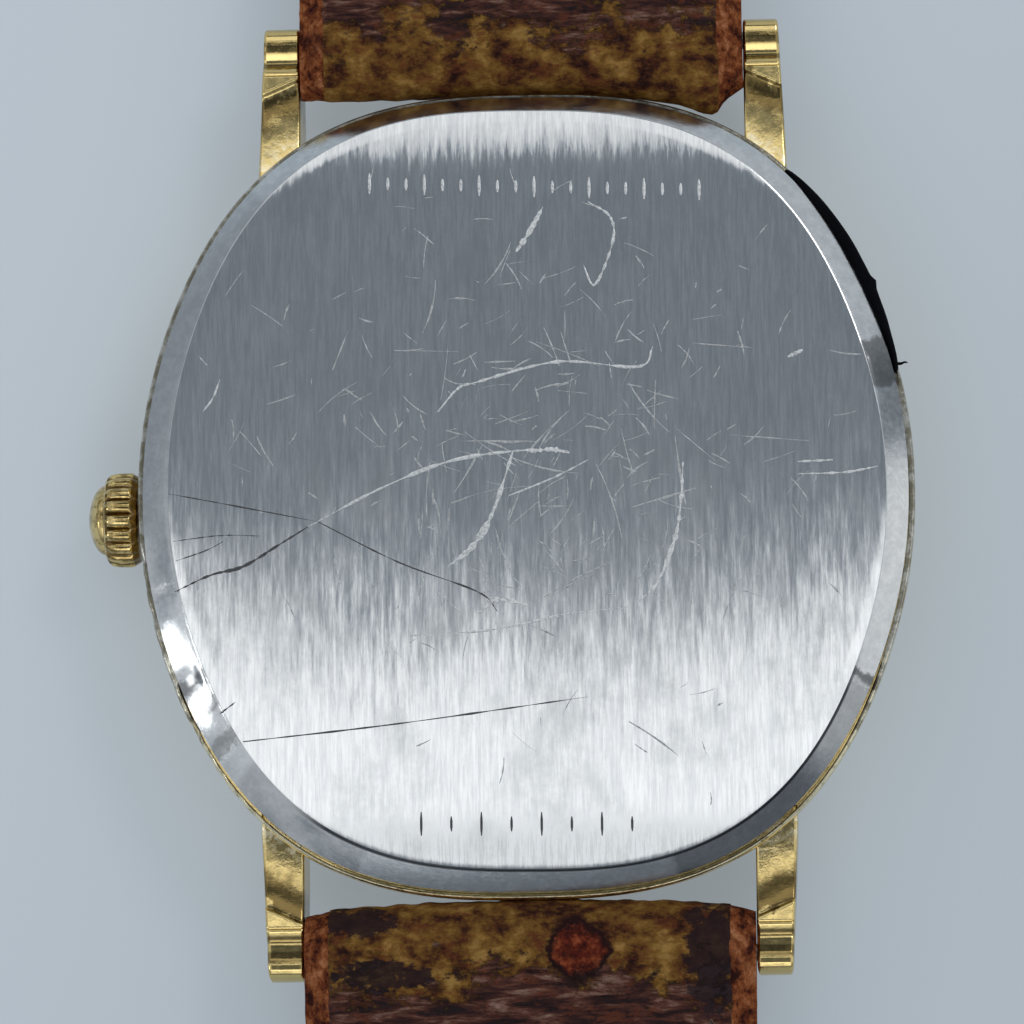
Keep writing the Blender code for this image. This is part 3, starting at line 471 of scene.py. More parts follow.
def rim_plate():
    """Gold plate rubbed through to pale base metal, except along the six o'clock side."""
    finish = Finish("rim_plate", (0.60, 0.57, 0.50), 0.22, 1.0)
    _, y, _ = finish.axes()
    patches = finish.noise(1.6, detail=5.0, rough=0.75)
    pale = finish.mix(patches.ranged(0.42, 0.60), (0.30, 0.27, 0.20), (0.62, 0.60, 0.54))
    bright = finish.mix(patches.ranged(0.34, 0.50), (0.36, 0.27, 0.12), (0.92, 0.82, 0.56))
    gold_left = (y * -0.05 + patches).ranged(0.86, 1.10)
    finish.put(Base_Color=finish.mix(gold_left, pale, bright), Normal=finish.bump(patches, 0.02))
    return finish.material


def plain_metal(name, colour, roughness, lines):
    """Turned or grained metal for the pieces inside. lines is how many marks to the mm along each axis."""
    finish = Finish(name, colour, roughness, 1.0)
    marks = finish.noise(*lines, detail=4.0, rough=0.7)
    dark = tuple(c * 0.72 for c in colour)
    finish.put(Base_Color=finish.mix(marks.ranged(0.35, 0.7), dark, colour),
               Roughness=marks.ranged(0.3, 0.7, roughness * 0.8, roughness * 1.35),
               Normal=finish.bump(marks, 0.008))
    return finish.material


def scratch_metal(name, colour, roughness, metallic):
    """The torn or dirty floor of a scratch, rougher than the steel round it. It also makes the dark gold
    painted as shade into the crown.
    """
    finish = Finish(name, colour, roughness, metallic)
    tear = finish.noise(9.0, detail=3.0)
    dim = tuple(c * 0.6 for c in colour)
    finish.put(Base_Color=finish.mix(tear.ranged(0.4, 0.7), colour, dim), Normal=finish.bump(tear, 0.01))
    return finish.material


def moulded(name, colour, roughness, grain=3.0, **sockets):
    """Rubber or nylon with a fine surface texture and uneven colour."""
    finish = Finish(name, colour, roughness, **sockets)
    fine = finish.noise(grain * 4, detail=3.0)
    cloud = finish.noise(grain * 0.15, detail=4.0)
    dim = tuple(c * 0.82 for c in colour)
    finish.put(Base_Color=finish.mix(cloud.ranged(0.35, 0.7), colour, dim),
               Roughness=fine.ranged(0.3, 0.7, roughness * 0.85, min(1.0, roughness * 1.2)),
               Normal=finish.bump(fine, 0.006))
    return finish.material


def magnifying_glass():
    finish = Finish("crystal_glass", (0.93, 0.96, 0.97), 0.02, Transmission_Weight=1.0, IOR=1.52)
    haze = finish.noise(0.5, detail=4.0, rough=0.7)
    finish.put(Roughness=haze.ranged(0.45, 0.8, 0.01, 0.06))
    return finish.material


def dial_paint():
    """Ivory paint with a faint sunburst and a printed minute track."""
    ivory = (0.84, 0.80, 0.69)
    finish = Finish("dial_paint", ivory, 0.38, Coat_Weight=0.3)
    x, y, _ = finish.axes()
    angle = y.worked("ARCTAN2", x)
    rays = (angle * 180.0).worked("SINE") * 0.5 + 0.5
    cloud = finish.noise(0.2, detail=4.0)
    paint = finish.mix(cloud.ranged(0.3, 0.75), ivory, (0.78, 0.73, 0.60))
    on_track = (x * x + y * y).worked("SQRT").inside(12.775, 13.325, 0.025)
    ticks = on_track * (angle * 60.0).worked("COSINE").ranged(0.93, 0.97)
    finish.put(Base_Color=finish.mix(ticks, paint, (0.04, 0.035, 0.03)), Normal=finish.bump(rays, 0.004))
    return finish.material


# ---------------------------------------------------------------- leathers
# Dark greasy corners of the six o'clock lining: centre across and along, and half sizes, in mm.
DARK_CORNERS = [(-6.7, 1.35 - BAR_Y, 1.7, 0.62), (7.45, -0.1 - BAR_Y, 1.25, 2.5),
                (-5.9, -0.85 - BAR_Y, 1.9, 0.6)]
SPOT_X, SPOT_Y, SPOT_STRETCH = 1.95, -18.60, 0.92       # the flaked spot's centre, and how it is flattened


def lining_leather():
    """Wrist side of the strap: dark and glossy from wear, its surface worn through to tan suede by the case.

    A flaked spot on the six o'clock half shows red leather beneath."""
    finish = Finish("lining_leather", (0.06, 0.02, 0.018), 0.5, Specular_IOR_Level=0.16)
    x, y, _ = finish.axes()
    from_bar = abs(y) - BAR_Y
    patches = finish.noise(0.30, 0.42, 0.3, detail=7.0, rough=0.70, distortion=0.3)
    flakes = finish.noise(1.1, 1.5, 1.0, detail=6.0, rough=0.70, distortion=0.15)
    creases = finish.noise(0.50, 2.4, 1.0, detail=6.0, rough=0.70, distortion=0.4)
    fall = from_bar.ranged(-1.9, 3.8, 0.205, -0.16) + y.ranged(-1.0, 1.0, 0.0, -0.045)
    fall = fall + from_bar.ranged(-1.7, -0.5, 0.10, 0.0)
    worn = (fall + patches + flakes * 0.55).ranged(0.76, 0.84)
    suede = finish.ramp(finish.noise(0.85, 1.05, 1.0, detail=7.0, rough=0.68, distortion=0.12),
                        (0.34, (0.012, 0.002, 0.002)), (0.41, (0.052, 0.015, 0.005)),
                        (0.47, (0.115, 0.048, 0.010)), (0.54, (0.175, 0.086, 0.016)),
                        (0.65, (0.31, 0.175, 0.048)))
    skin = finish.ramp(creases, (0.38, (0.008, 0.002, 0.003)), (0.46, (0.030, 0.007, 0.006)),
                       (0.54, (0.085, 0.028, 0.017)), (0.66, (0.23, 0.140, 0.105)))
    rubbed_and_sheen = finish.noise(0.8, 1.3, 1.0, detail=6.0, rough=0.75)
    colour = finish.mix(worn, skin, suede)
    colour = finish.mix(rubbed_and_sheen.ranged(0.53, 0.61, 0.0, 0.6), colour, (0.115, 0.028, 0.010))
    for across, along, half_x, half_y in DARK_CORNERS:
        off_x, off_y = (x - across) / half_x, (y - along) / half_y
        off = (flakes - 0.5) * 5.0 + (off_x * off_x + off_y * off_y)
        colour = finish.mix(off.ranged(0.75, 1.15, 0.9, 0.0), colour, (0.016, 0.007, 0.010))
    off_x, off_y = x - SPOT_X, (y - SPOT_Y) * SPOT_STRETCH
    spot = (off_x * off_x + off_y * off_y).worked("SQRT") + finish.noise(1.0, detail=4.0, rough=0.7) * 1.5
    red = finish.ramp(finish.noise(1.5, detail=6.0, rough=0.7), (0.40, (0.030, 0.003, 0.002)),
                      (0.50, (0.095, 0.012, 0.004)), (0.64, (0.26, 0.060, 0.020)))
    colour = finish.mix(spot.ranged(1.86, 2.16, 1.0, 0.0), colour, (0.016, 0.003, 0.003))
    step = finish.bump(worn, 0.06)
    unworn = creases.ranged(0.4, 0.75, 0.40, 0.70)
    finish.put(Base_Color=finish.mix(spot.ranged(1.50, 1.82, 1.0, 0.0), colour, red),
               Roughness=worn * (0.85 - unworn) + unworn,
               Normal=finish.bump(flakes, 0.16, Normal=finish.bump(creases, 0.20, Normal=step)))
    return finish.material


def raw_edge():
    """The cut edge of the leather: red-orange fibres."""
    finish = Finish("raw_edge", (0.20, 0.07, 0.03), 0.85, Specular_IOR_Level=0.12)
    fibres = finish.noise(1.5, 1.2, 1.5, detail=7.0, rough=0.75, distortion=0.2)
    stains = finish.noise(0.7, 0.4, 0.7, detail=5.0, rough=0.75)
    colour = finish.ramp(fibres, (0.39, (0.022, 0.004, 0.003)), (0.46, (0.115, 0.026, 0.008)),
                         (0.54, (0.235, 0.070, 0.022)), (0.66, (0.44, 0.19, 0.085)))
    finish.put(Base_Color=finish.mix(stains.ranged(0.52, 0.70, 0.0, 0.85), colour, (0.030, 0.008, 0.007)),
               Normal=finish.bump(fibres, 0.22))
    return finish.material


def upper_leather():
    """Dial side of the strap: brown, with a pebbled grain and a low gloss."""
    finish = Finish("upper_leather", (0.12, 0.045, 0.022), 0.45, Specular_IOR_Level=0.5)
    edges = finish.node("TexVoronoi", "Distance", {"feature": "DISTANCE_TO_EDGE"},
                        Vector=finish.scaled(2.6, 2.6, 2.6), Scale=1.0)
    cells = edges.ranged(0.0, 0.16)
    cloud = finish.noise(0.12, detail=5.0, rough=0.6)
    pores = finish.noise(9.0, detail=2.0)
    tone = finish.mix(cloud.ranged(0.35, 0.7), (0.085, 0.030, 0.016), (0.155, 0.060, 0.028))
    finish.put(Base_Color=finish.mix(cells, (0.055, 0.019, 0.011), tone),
               Roughness=cloud.ranged(0.3, 0.75, 0.36, 0.55),
               Normal=finish.bump(pores, 0.01, Normal=finish.bump(cells, 0.06)))
    return finish.material


def thread():
    """Twisted linen thread, dark with wear."""
    finish = Finish("thread", (0.08, 0.045, 0.025), 0.9, Sheen_Weight=0.1)
    twist = finish.node("TexWave", "Fac", {"bands_direction": "DIAGONAL"}, Scale=1.0, Distortion=1.5,
                        Detail=2.0, Vector=finish.scaled(4.0, 4.0, 4.0))
    finish.put(Base_Color=finish.mix(twist.ranged(0.2, 0.8), (0.018, 0.008, 0.006), (0.11, 0.066, 0.036)),
               Normal=finish.bump(twist, 0.04))
    return finish.material


STEEL_BACK = brushed_back()
STEEL_EDGE = polished_steel()
GOLD = worn_gold("worn_gold", dents_by=0.026, grain=2.2)
RIM_PLATE = rim_plate()
LUG_GOLD = lug_gold()
CROWN_GOLD = worn_gold("crown_gold", dents_by=0.01, grain=3.0, dirt_from=0.42, dirt_share=0.85)
# dark gold painted as shade into the crown's grooves and round its inner end
CROWN_SHADE_GOLD = scratch_metal("crown_shade_gold", (0.20, 0.13, 0.05), 0.30, 1.0)
GOLD_SMOOTH = worn_gold("smooth_gold", dents_by=0.02, grain=4.0)
SCRATCH_BRIGHT = scratch_metal("scratch_bright", (0.70, 0.72, 0.73), 0.42, 1.0)
HAIRLINE = scratch_metal("hairline", (0.50, 0.52, 0.53), 0.36, 1.0)
SCRATCH_DARK = scratch_metal("scratch_dark", (0.07, 0.072, 0.075), 0.45, 0.4)
# black for the strip that stands in for a dark reflection along the back's seam
SEAM_REFLECTION_BLACK = moulded("seam_reflection_black", (0.0015, 0.0015, 0.003), 0.75, grain=2.0, Specular_IOR_Level=0.06)
LINING = lining_leather()
RAW_EDGE = raw_edge()
UPPER = upper_leather()
THREAD = thread()


# ---------------------------------------------------------------- case back
KNOCK_FROM, KNOCK_TO = math.radians(186), math.radians(236)
PLUG_INSET, PLUG_Z = 1.42, 4.70         # the part of the back that goes down into the case
SKIRT_BELOW, SKIRT_ABOVE = 0.45, 0.10   # its upright edge, from the seat
SLOPE_RINGS, SLOPE_BELLY = 12, 0.0084
# Rounding between the slope and the flat: half its width, what that gains on the upper left, and its section
# as shares of the width outwards and downwards.
ROUNDING, ROUNDING_GAIN = 0.025, 0.050
ROUNDING_SECTION = [(1.0, 1.0), (0.45, 0.52), (-0.1, 0.22), (-0.55, 0.06)]


def knocks(angles, seed, count, depth, spread):
    """Depths of the dents that hard knocks left on the lower left of the case, at angles round it."""
    rng = random.Random(seed)
    total = np.zeros_like(angles)
    for _ in range(count):
        where, wide = rng.uniform(KNOCK_FROM, KNOCK_TO), rng.uniform(*spread)
        total += rng.uniform(*depth) * np.exp(-((angles - where) / wide) ** 2)
    return total


def case_back():
    """Flat brushed plate with a polished slope round it, knocked into facets on its lower left."""
    outer, inner = cushion(BACK_INSET), flat_outline()
    angles = np.arctan2(outer[:, 1], outer[:, 0]) % math.tau
    facet = knocks(angles, 11, 13, (0.01, 0.05), (0.012, 0.05))
    facet -= knocks(angles, 5, 7, (0.01, 0.03), (0.02, 0.05))
    rings = [at_height(cushion(PLUG_INSET), z) for z in (PLUG_Z, SEAT_Z - SKIRT_BELOW)]
    rings += [at_height(outer, z) for z in (SEAT_Z - SKIRT_BELOW, SEAT_Z + SKIRT_ABOVE)]
    for i in range(SLOPE_RINGS):
        share = i / SLOPE_RINGS
        belly = SLOPE_BELLY * math.sin(math.pi * share)
        sink = facet * math.sin(math.pi * min(1.0, share * 1.1 + 0.08)) ** 0.7
        level = BACK_Z - BEVEL_DROP * (1 - share) + belly
        rings.append(at_height(pushed_out(outer + (inner - outer) * share, belly), level - sink))
    degrees = np.degrees(angles)
    width = ROUNDING + ROUNDING_GAIN * smoothstep(12, 22, degrees) * smoothstep(68, 56, degrees)
    steepness = BEVEL_DROP / (BEVEL_WIDTH_X + BEVEL_WIDTH_Y) * 2
    for out, drop in ROUNDING_SECTION:
        rings.append(at_height(pushed_out(inner, width * out), BACK_Z - width * drop * steepness))
    edge = pushed_out(inner, -width)
    rings += [at_height(edge * share, BACK_Z) for share in (1.0, 0.97, 0.85, 0.65, 0.4, 0.15, 0.01)]
    finished("case_back_plate", *tube(rings), [STEEL_EDGE, STEEL_BACK], "case", "steel_back", ["case_back"],
             choose=lambda centre, normal: int(centre.z > BACK_Z - 0.002 and normal.z > 0.99), sharp=25)


SCRATCH_LIFT = 0.004
LONG_NARROWING = 0.72                   # of the long scratches' widths in the table below
FINE_COUNT = 340
FINE_FROM = -5.0                        # below this few fine scratches lie
FINE_EDGE = 1.15                        # how far they stay inside the back's outline


def groove(line, width, height, lift, rng=None):
    """A low three-sided ridge along a line on the back: a scratch's raised lips. It tapers at both ends."""
    rows = []
    last = len(line) - 1
    for i, point in enumerate(line):
        ahead, behind = line[min(i + 1, last)], line[max(i - 1, 0)]
        run = Vector((ahead[0] - behind[0], ahead[1] - behind[1], 0)).normalized()
        side = Vector((-run.y, run.x, 0))
        half = width / 2 * (0.25 + 0.75 * math.sin(math.pi * (0.06 + 0.88 * i / last)))
        if rng:
            half *= rng.uniform(0.25, 1.35)
        centre = Vector((point[0], point[1], BACK_Z + lift))
        rows.append([centre - side * half, centre + side * half, centre + Vector((0, 0, height))])
    return tube(rows)


def on_back(name, shapes, finish):
    """One piece of many grooves in the back."""
    finished(name, *together(shapes), [finish], "case", "steel_back", sharp=60)


# Each scratch's width, and points that it runs through.
LONG_SCRATCHES = {
    "bright": [
        (0.20, [(-8.68, -1.41), (-5.86, 0.04), (-3.03, 1.13), (-0.22, 1.52), (1.79, 1.48)]),
        (0.30, [(0.30, 1.46), (1.10, 1.56), (1.85, 1.40)]),
        (0.34, [(-0.42, 1.48), (-1.24, -0.94), (-2.05, -2.30), (-3.07, -3.13)]),
        (0.26, [(6.40, 0.94), (6.30, -0.60), (6.05, -2.10), (5.33, -3.90), (4.52, -4.69)]),
        (0.30, [(0.90, 11.48), (0.28, 10.36), (-0.21, 9.66)]),
        (0.16, [(2.72, 11.65), (3.60, 11.02), (3.70, 9.99), (2.96, 8.24), (2.48, 9.11)]),
        (0.16, [(10.99, 0.86), (12.40, 0.91)]),
        (0.14, [(10.99, 0.37), (12.90, 0.40), (14.20, 0.62)]),
        (0.36, [(-1.89, -5.06), (-1.08, -4.51), (0.12, -4.75)]),
        (0.18, [(-3.42, 3.17), (-2.60, 4.10), (-1.80, 4.36), (1.43, 5.12), (4.65, 4.85), (5.26, 5.65)]),
        (0.22, [(10.67, 5.13), (11.28, 5.41)]),
        (0.14, [(-12.90, 3.36), (-12.50, 3.90), (-12.21, 4.65)]),
        (0.14, [(-4.60, -5.90), (-1.20, -5.70), (1.80, -5.10), (4.10, -4.90)]),
        (0.12, [(-0.60, -0.30), (1.20, 0.40), (2.60, 1.10)]),
    ],
    "dark": [
        (0.17, [(-14.05, -3.95), (-12.60, -3.30), (-11.31, -2.98), (-9.90, -2.15), (-8.68, -1.41)]),
        (0.10, [(-8.28, -1.21), (-5.08, -2.90), (-1.88, -4.17), (-1.08, -4.99)]),
        (0.08, [(-14.30, 0.04), (-11.90, -0.45), (-8.28, -1.21)]),
        (0.12, [(-11.33, -10.05), (-5.12, -9.43), (2.48, -8.48)]),
        (0.10, [(-12.25, -8.91), (-11.61, -8.44)]),
        (0.07, [(-14.10, -1.90), (-12.20, -1.70), (-10.60, -1.75)]),
        (0.07, [(-14.00, -2.70), (-12.80, -2.30), (-12.10, -1.95)]),
    ],
}


def long_scratches():
    rng = random.Random(4)
    for kind, finish in (("bright", SCRATCH_BRIGHT), ("dark", SCRATCH_DARK)):
        shapes = []
        for width, route in LONG_SCRATCHES[kind]:
            line = eased([(x, y, 0) for x, y in route], 10)
            shapes.append(groove(line, width * LONG_NARROWING, 0.010, SCRATCH_LIFT, rng))
        on_back(f"back_scratches_{kind}", shapes, finish)


def fine_scratches():
    """Hairlines, thickest in the middle of the back, where most run up and down or slant to the right."""
    rng = random.Random(21)
    shapes = []
    while len(shapes) < FINE_COUNT:
        x, y = rng.gauss(0.6, 5.6), rng.gauss(0.2, 6.2)
        if not inside_back(x, y, 1.9) or (y < FINE_FROM and rng.random() < 0.75):
            continue
        length = rng.uniform(0.2, 1.4) if rng.random() < 0.88 else rng.uniform(1.4, 3.4)
        heading = rng.gauss(math.radians(rng.choice((90, 20, 60, 150))), 0.35)
        bend = rng.uniform(-0.25, 0.25) * length
        c, s = math.cos(heading), math.sin(heading)
        line = []
        for i in range(7):
            t = i / 6 - 0.5
            bow = bend * (0.25 - t * t)
            line.append((x + c * length * t - s * bow, y + s * length * t + c * bow))
        if all(inside_back(px, py, FINE_EDGE) for px, py in (line[0], line[-1])):
            shapes.append(groove(line, rng.uniform(0.02, 0.085), 0.005, SCRATCH_LIFT / 2, rng))
    on_back("back_hairlines", shapes, HAIRLINE)


# Rows of strokes: name, finish, middle, pitch, count, heights in turn, width and lean.
MARK_ROWS = [("back_marks_upper", SCRATCH_BRIGHT, (0.55, 12.32), 0.74, 19, (0.86, 0.50, 0.50), 0.13, -0.04),
             ("back_marks_lower", SCRATCH_DARK, (-0.02, -13.53), 1.20, 8, (0.95, 0.60), 0.11, -0.016)]


def engraved_marks():
    """Two plain rows of strokes where a maker would engrave a back: no letters or figures."""
    for name, finish, (middle_x, middle_y), pitch, count, heights, width, lean in MARK_ROWS:
        shapes = []
        for i in range(count):
            along = (i - (count - 1) / 2) * pitch
            x, y, half = middle_x + along, middle_y + along * lean, heights[i % len(heights)] / 2
            line = [(x, y + half * share) for share in (-1, -0.4, 0.4, 1)]
            shapes.append(groove(line, width, 0.012, SCRATCH_LIFT))
        on_back(name, shapes, finish)


# ---------------------------------------------------------------- case
# The band's section as insets from the outline and heights. It narrows towards the dial.
BAND_OUTSIDE = [(1.78, 0.30), (1.52, 0.30), (1.44, 0.33), (1.16, 0.62), (0.90, 0.94), (0.76, 1.16),
                (0.68, 1.36), (0.62, 1.60), (0.57, 1.85), (0.05, 4.55)]
RIM_OUTSIDE = [(0.0, 4.85), (0.015, 5.04), (0.05, 5.15), (0.10, 5.18), (0.14, 5.16)]
RIM_INSIDE = [(0.18, 5.08), (0.19, 4.80)]
BAND_INSIDE = [(1.30, 4.78), (1.30, 4.30), (1.62, 4.30), (1.62, 1.84), (2.45, 1.84), (2.45, 1.10),
               (1.78, 1.10)]
RIM_CLOSING = 0.07                      # how far the rim's inside leans in to the back, except at its bottom


def case_band():
    """Bezel and band in one ring: polished flanks, and a rim round the back with knocks in its lower left."""
    count = 480
    dent = knocks(np.array(turns(count)), 7, 22, (0.01, 0.05), (0.006, 0.030))
    rings = []
    for section in (BAND_OUTSIDE, RIM_OUTSIDE, RIM_INSIDE, BAND_INSIDE):
        for inset, z in section:
            outline = cushion(inset, count=count)
            if section is RIM_INSIDE:
                outline = pushed_out(outline, -RIM_CLOSING * smoothstep(-11.5, -6.0, outline[:, 1]))
            elif section is RIM_OUTSIDE:
                outline, z = pushed_out(outline, -dent), z - dent * 1.5
            rings.append(at_height(outline, z))
    finished("case_ring", *tube(rings, rings_closed=True), [GOLD, RIM_PLATE], "case", "gold_plate",
             ["case_middle"], sharp=50, choose=lambda centre, normal: 1 if centre.z > 5.0 else 0)


LIP_FROM, LIP_TO, LIP_Z = math.radians(17.0), math.radians(50.5), 5.36
LIP_STEPS, LIP_PLACES = 70, 3600        # rings along it, and places on the outline that they come from


def seam_reflection_strip():
    """A black strip along the back's seam at the upper right, with a thin torn end: a dark reflection of the
    case's polished side, put in as a solid black piece.
    """
    outline = cushion(0.0, count=LIP_PLACES)

    def on_outline(angle):
        return outline[int(angle / math.tau * LIP_PLACES)]

    rings = []
    for i in range(LIP_STEPS + 1):
        share = i / LIP_STEPS
        x, y = on_outline(LIP_FROM + (LIP_TO - LIP_FROM) * share)
        swell = math.sin(math.pi * share) ** 0.5
        pimple = 0.12 * math.exp(-((share - 0.40) / 0.02) ** 2)
        out = -0.12 + 0.30 * swell + 0.02 * wobble(share * 9, 0) + pimple
        inner = -0.24 - 0.22 * float(smoothstep(0.1, 0.4, share)) * float(smoothstep(1.0, 0.85, share))
        heading = Vector((x, y, 0)).normalized()
        ring = []
        for phase in turns(12):
            radial = (out + inner) / 2 + (out - inner) / 2 * math.cos(phase)
            rise = 0.40 * math.sin(phase) * (0.3 + 0.7 * swell)
            ring.append(Vector((x, y, LIP_Z + rise)) + heading * radial)
        rings.append(ring)
    root = Vector((*on_outline(math.radians(18.2)), 5.2))
    steps = ((-0.1, 0, 0), (0.12, 0, 0.03), (0.26, 0.05, 0.05), (0.38, 0.03, 0.04))
    torn = [root + Vector(step) for step in steps]
    torn_rings = []
    for i, centre in enumerate(eased(torn, 4)):
        radius = 0.075 * (1 - 0.055 * i)
        torn_rings.append([centre + Vector((0, radius * math.cos(a), radius * math.sin(a)))
                           for a in turns(8)])
    points, faces = together([tube(rings), tube(torn_rings)])
    finished("seam_reflection_strip", points, faces, [SEAM_REFLECTION_BLACK], "case", "gasket_rubber")


# Distances from the lug's tip, and heights there of its top, before the step, and of its underside.
LUG_TOP = [(0.0, 4.30), (0.04, 4.52), (0.12, 4.74), (0.25, 4.92), (0.42, 5.02), (0.62, 5.05), (0.85, 5.02),
           (1.10, 4.93), (1.40, 4.78), (1.52, 4.75), (1.62, 4.79), (1.80, 4.93), (1.96, 5.03), (2.02, 5.02),
           (2.06, 4.98), (2.10, 5.03)]
LUG_BELLY = [(0.0, 4.00), (0.04, 3.72), (0.14, 3.36), (0.30, 3.05), (0.47, 2.80), (1.77, 2.20), (3.87, 1.80),
             (7.9, 1.75)]
STEP_DROP, STEP_RUN = 0.13, 0.15        # the step's steep part
COVE_DROP, COVE_RUN = 0.20, 0.50        # and the hollow at its foot
SWELL_FROM, SWELL_BEND = 1.25, 0.060    # where the arm starts to curve up towards the case, and how fast
LUG_LENGTH = 7.3
LUG_WIDE_FROM = 6.0                     # where it has its root's width
LUG_ROUNDING = 0.12                     # of its long edges


def arm_fall(past):
    """How far the arm lies below the step's crest, at a distance past the crest towards the case."""
    steep = STEP_DROP * float(smoothstep(0, STEP_RUN, past))
    cove = COVE_DROP * (1 - math.exp(-max(0.0, past - STEP_RUN * 0.6) / COVE_RUN))
    return steep + cove - 0.5 * SWELL_BEND * max(0.0, past - SWELL_FROM) ** 2


def lug(side_x, side_y):
    """A claw lug: a beaded end, a slanting step, and an arm that swells towards the case."""
    starts = np.concatenate([np.linspace(0, 0.45, 14), np.linspace(0.50, 3.4, 70),
                             np.linspace(3.5, LUG_LENGTH, 26)])
    shares = np.concatenate([[0, 0.012, 0.03, 0.06], np.linspace(0.1, 0.9, 13), [0.94, 0.97, 0.988, 1.0]])
    top, bottom = [], []
    for s in starts:
        width = LUG_TIP_WIDTH + (LUG_ROOT_WIDTH - LUG_TIP_WIDTH) * min(1.0, s / LUG_WIDE_FROM)
        tip_round = 0.10 * math.exp(-s / 0.12)
        crest, under = along_table(LUG_TOP, s), along_table(LUG_BELLY, s)
        top_row, bottom_row = [], []
        for share in shares:
            across = tip_round + (width - 2 * tip_round) * share
            step = STEP_INNER + (STEP_OUTER - STEP_INNER) * share
            to_edge = min(across, width - across)
            level = crest - arm_fall(s - step)
            level += 0.010 * wobble(side_x * 3 + across, side_y * 5 + s, scale=1.1)
            level -= LUG_ROUNDING * (1 - math.sqrt(1 - max(0.0, 1 - to_edge / LUG_ROUNDING) ** 2))
            x, y = side_x * (LUG_INNER + across), side_y * (LUG_TIP_Y - s)
            top_row.append((x, y, level))
            bottom_row.append((x, y, under + 0.12 * max(0.0, 1 - to_edge / 0.2) ** 2))
        top.append(top_row)
        bottom.append(bottom_row)
    return slab(top, bottom)


def lugs():
    for label, side_y in (("12", 1), ("6", -1)):
        for side, side_x in (("left", -1), ("right", 1)):
            points, faces = lug(side_x, side_y)
            finished(f"lug_{label}_{side}", points, faces, [LUG_GOLD], "case", "gold_plate", sharp=55)


# ---------------------------------------------------------------- crown
CROWN_RIBS, CROWN_POINTS = 18, 396
CROWN_DOME = 1.42                       # the dome's radius, and how far it starts from the crown's inner face
# Rings of the skirt: how far out from the inner face, how much smaller than the crown, and the groove depth.
SKIRT_ROOT = [(0, 0.24, 0), (0.03, 0.20, 0.02), (0.24, 0.07, 0.10), (0.29, 0.02, 0.20), (0.34, 0, 0.27)]
SKIRT_RIBS = [(0.6, 0.0), (0.9, 0.01), (1.08, 0.04), (1.20, 0.10), (1.30, 0.19), (1.37, 0.30)]


def crown():
    """Rounded ribs round the skirt, which slopes in at both ends, and a smooth low dome on the end."""
    centre_y, centre_z = (CROWN_LOW.y + CROWN_HIGH.y) / 2 - 0.05, (CROWN_LOW.z + CROWN_HIGH.z) / 2
    radius = (CROWN_HIGH.z - CROWN_LOW.z) / 2 - 0.02
    inner, tip = CROWN_HIGH.x + 0.17, CROWN_LOW.x + 0.13
    dome_from = inner - CROWN_DOME
    angles = np.array(turns(CROWN_POINTS)) + math.radians(1.5)
    groove_share = 1 - np.abs(np.cos(angles * CROWN_RIBS / 2)) ** 0.55

    def ring(x, r, depth):
        r = r - depth * groove_share
        return np.column_stack([np.full(CROWN_POINTS, x), centre_y + r * np.cos(angles),
                                centre_z + r * np.sin(angles)])

    skirt = SKIRT_ROOT + [(out, shrink, 0.28 - shrink * 0.6) for out, shrink in SKIRT_RIBS]
    rings = [ring(inner, 0.95, 0)]
    rings += [ring(inner - out, radius - shrink, depth) for out, shrink, depth in skirt]
    rings += [ring(dome_from + 0.02, CROWN_DOME + 0.10, 0.04), ring(dome_from, CROWN_DOME, 0)]
    for angle in np.radians(range(5, 90, 7)):
        out = dome_from + (tip - dome_from) * math.sin(angle)
        rings.append(ring(out, CROWN_DOME * math.cos(angle) ** 1.12, 0))

    # painted shade: faces in the grooves and at the inner end take the dark gold
    def shade_or_plain(centre, normal):
        from_axis = math.hypot(centre.y - centre_y, centre.z - centre_z)
        in_groove = dome_from + 0.12 < centre.x and from_axis < radius - 0.15
        return 1 if in_groove or centre.x > inner - 0.26 else 0

    finished("crown_cap", *tube(rings), [CROWN_GOLD, CROWN_SHADE_GOLD], "crown", "gold_plate", ["crown"], sharp=45,
             choose=shade_or_plain)


# ---------------------------------------------------------------- strap
TAPER_RUN, FALL_RUN = 24.0, 30.0        # how far from the bar the strap thins, and comes down to the floor
FOLD_ANGLES = np.radians((3, 12, 24, 36, 48, 60, 72, 82))
END_ROUND = 0.6                         # of the buckle end, before and past the strap's length
EDGE_COLUMNS = np.array([0.0, 0.006, 0.015, 0.028, 0.045, 0.065, 0.09, 0.115, 0.14, 0.18, 0.23, 0.29])
RAW_WIDTH = 1.02                        # of the raw strip along each side, seen from the wrist
# How far the folded end reaches past its bar towards the case, at places across the strap: the leather has
# moulded itself to the case's curve, and one corner is torn into a flap.
REACH_12 = [(-9.0, 2.15), (-7.8, 2.18), (-5.0, 2.16), (-2.0, 2.10), (0.0, 2.10), (3.0, 2.18), (5.2, 2.40),
            (6.6, 2.65), (7.3, 3.02), (7.9, 3.08), (8.3, 2.45), (9.0, 1.95)]
REACH_6 = [(-9.0, 1.70), (-8.0, 1.95), (-5.2, 2.10), (-2.0, 2.22), (1.2, 2.24), (5.5, 2.12), (8.0, 1.95),
           (9.0, 1.62)]
HOLE_RADIUS, HOLE_PITCH, HOLE_COUNT, HOLE_FROM_TIP = 0.9, 6.0, 7, 22.0
STITCH_LENGTH, STITCH_PITCH, STITCH_IN, STITCH_FROM = 1.55, 2.45, 1.80, 2.70


def strap_line(distance, end_z):
    """Middle height and thickness of the strap at a distance from its lug bar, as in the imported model."""
    along = max(0.0, distance)
    fall = min(1.0, along / FALL_RUN)
    smooth = fall * fall * (3 - 2 * fall)
    thin = min(1.0, along / TAPER_RUN)
    loop = 2 * STRAP_LOOP_HALF
    thickness = loop + (STRAP_THICK - loop) * (1 - (1 - thin) ** 2)
    return BAR_Z + (end_z - BAR_Z) * smooth, thickness


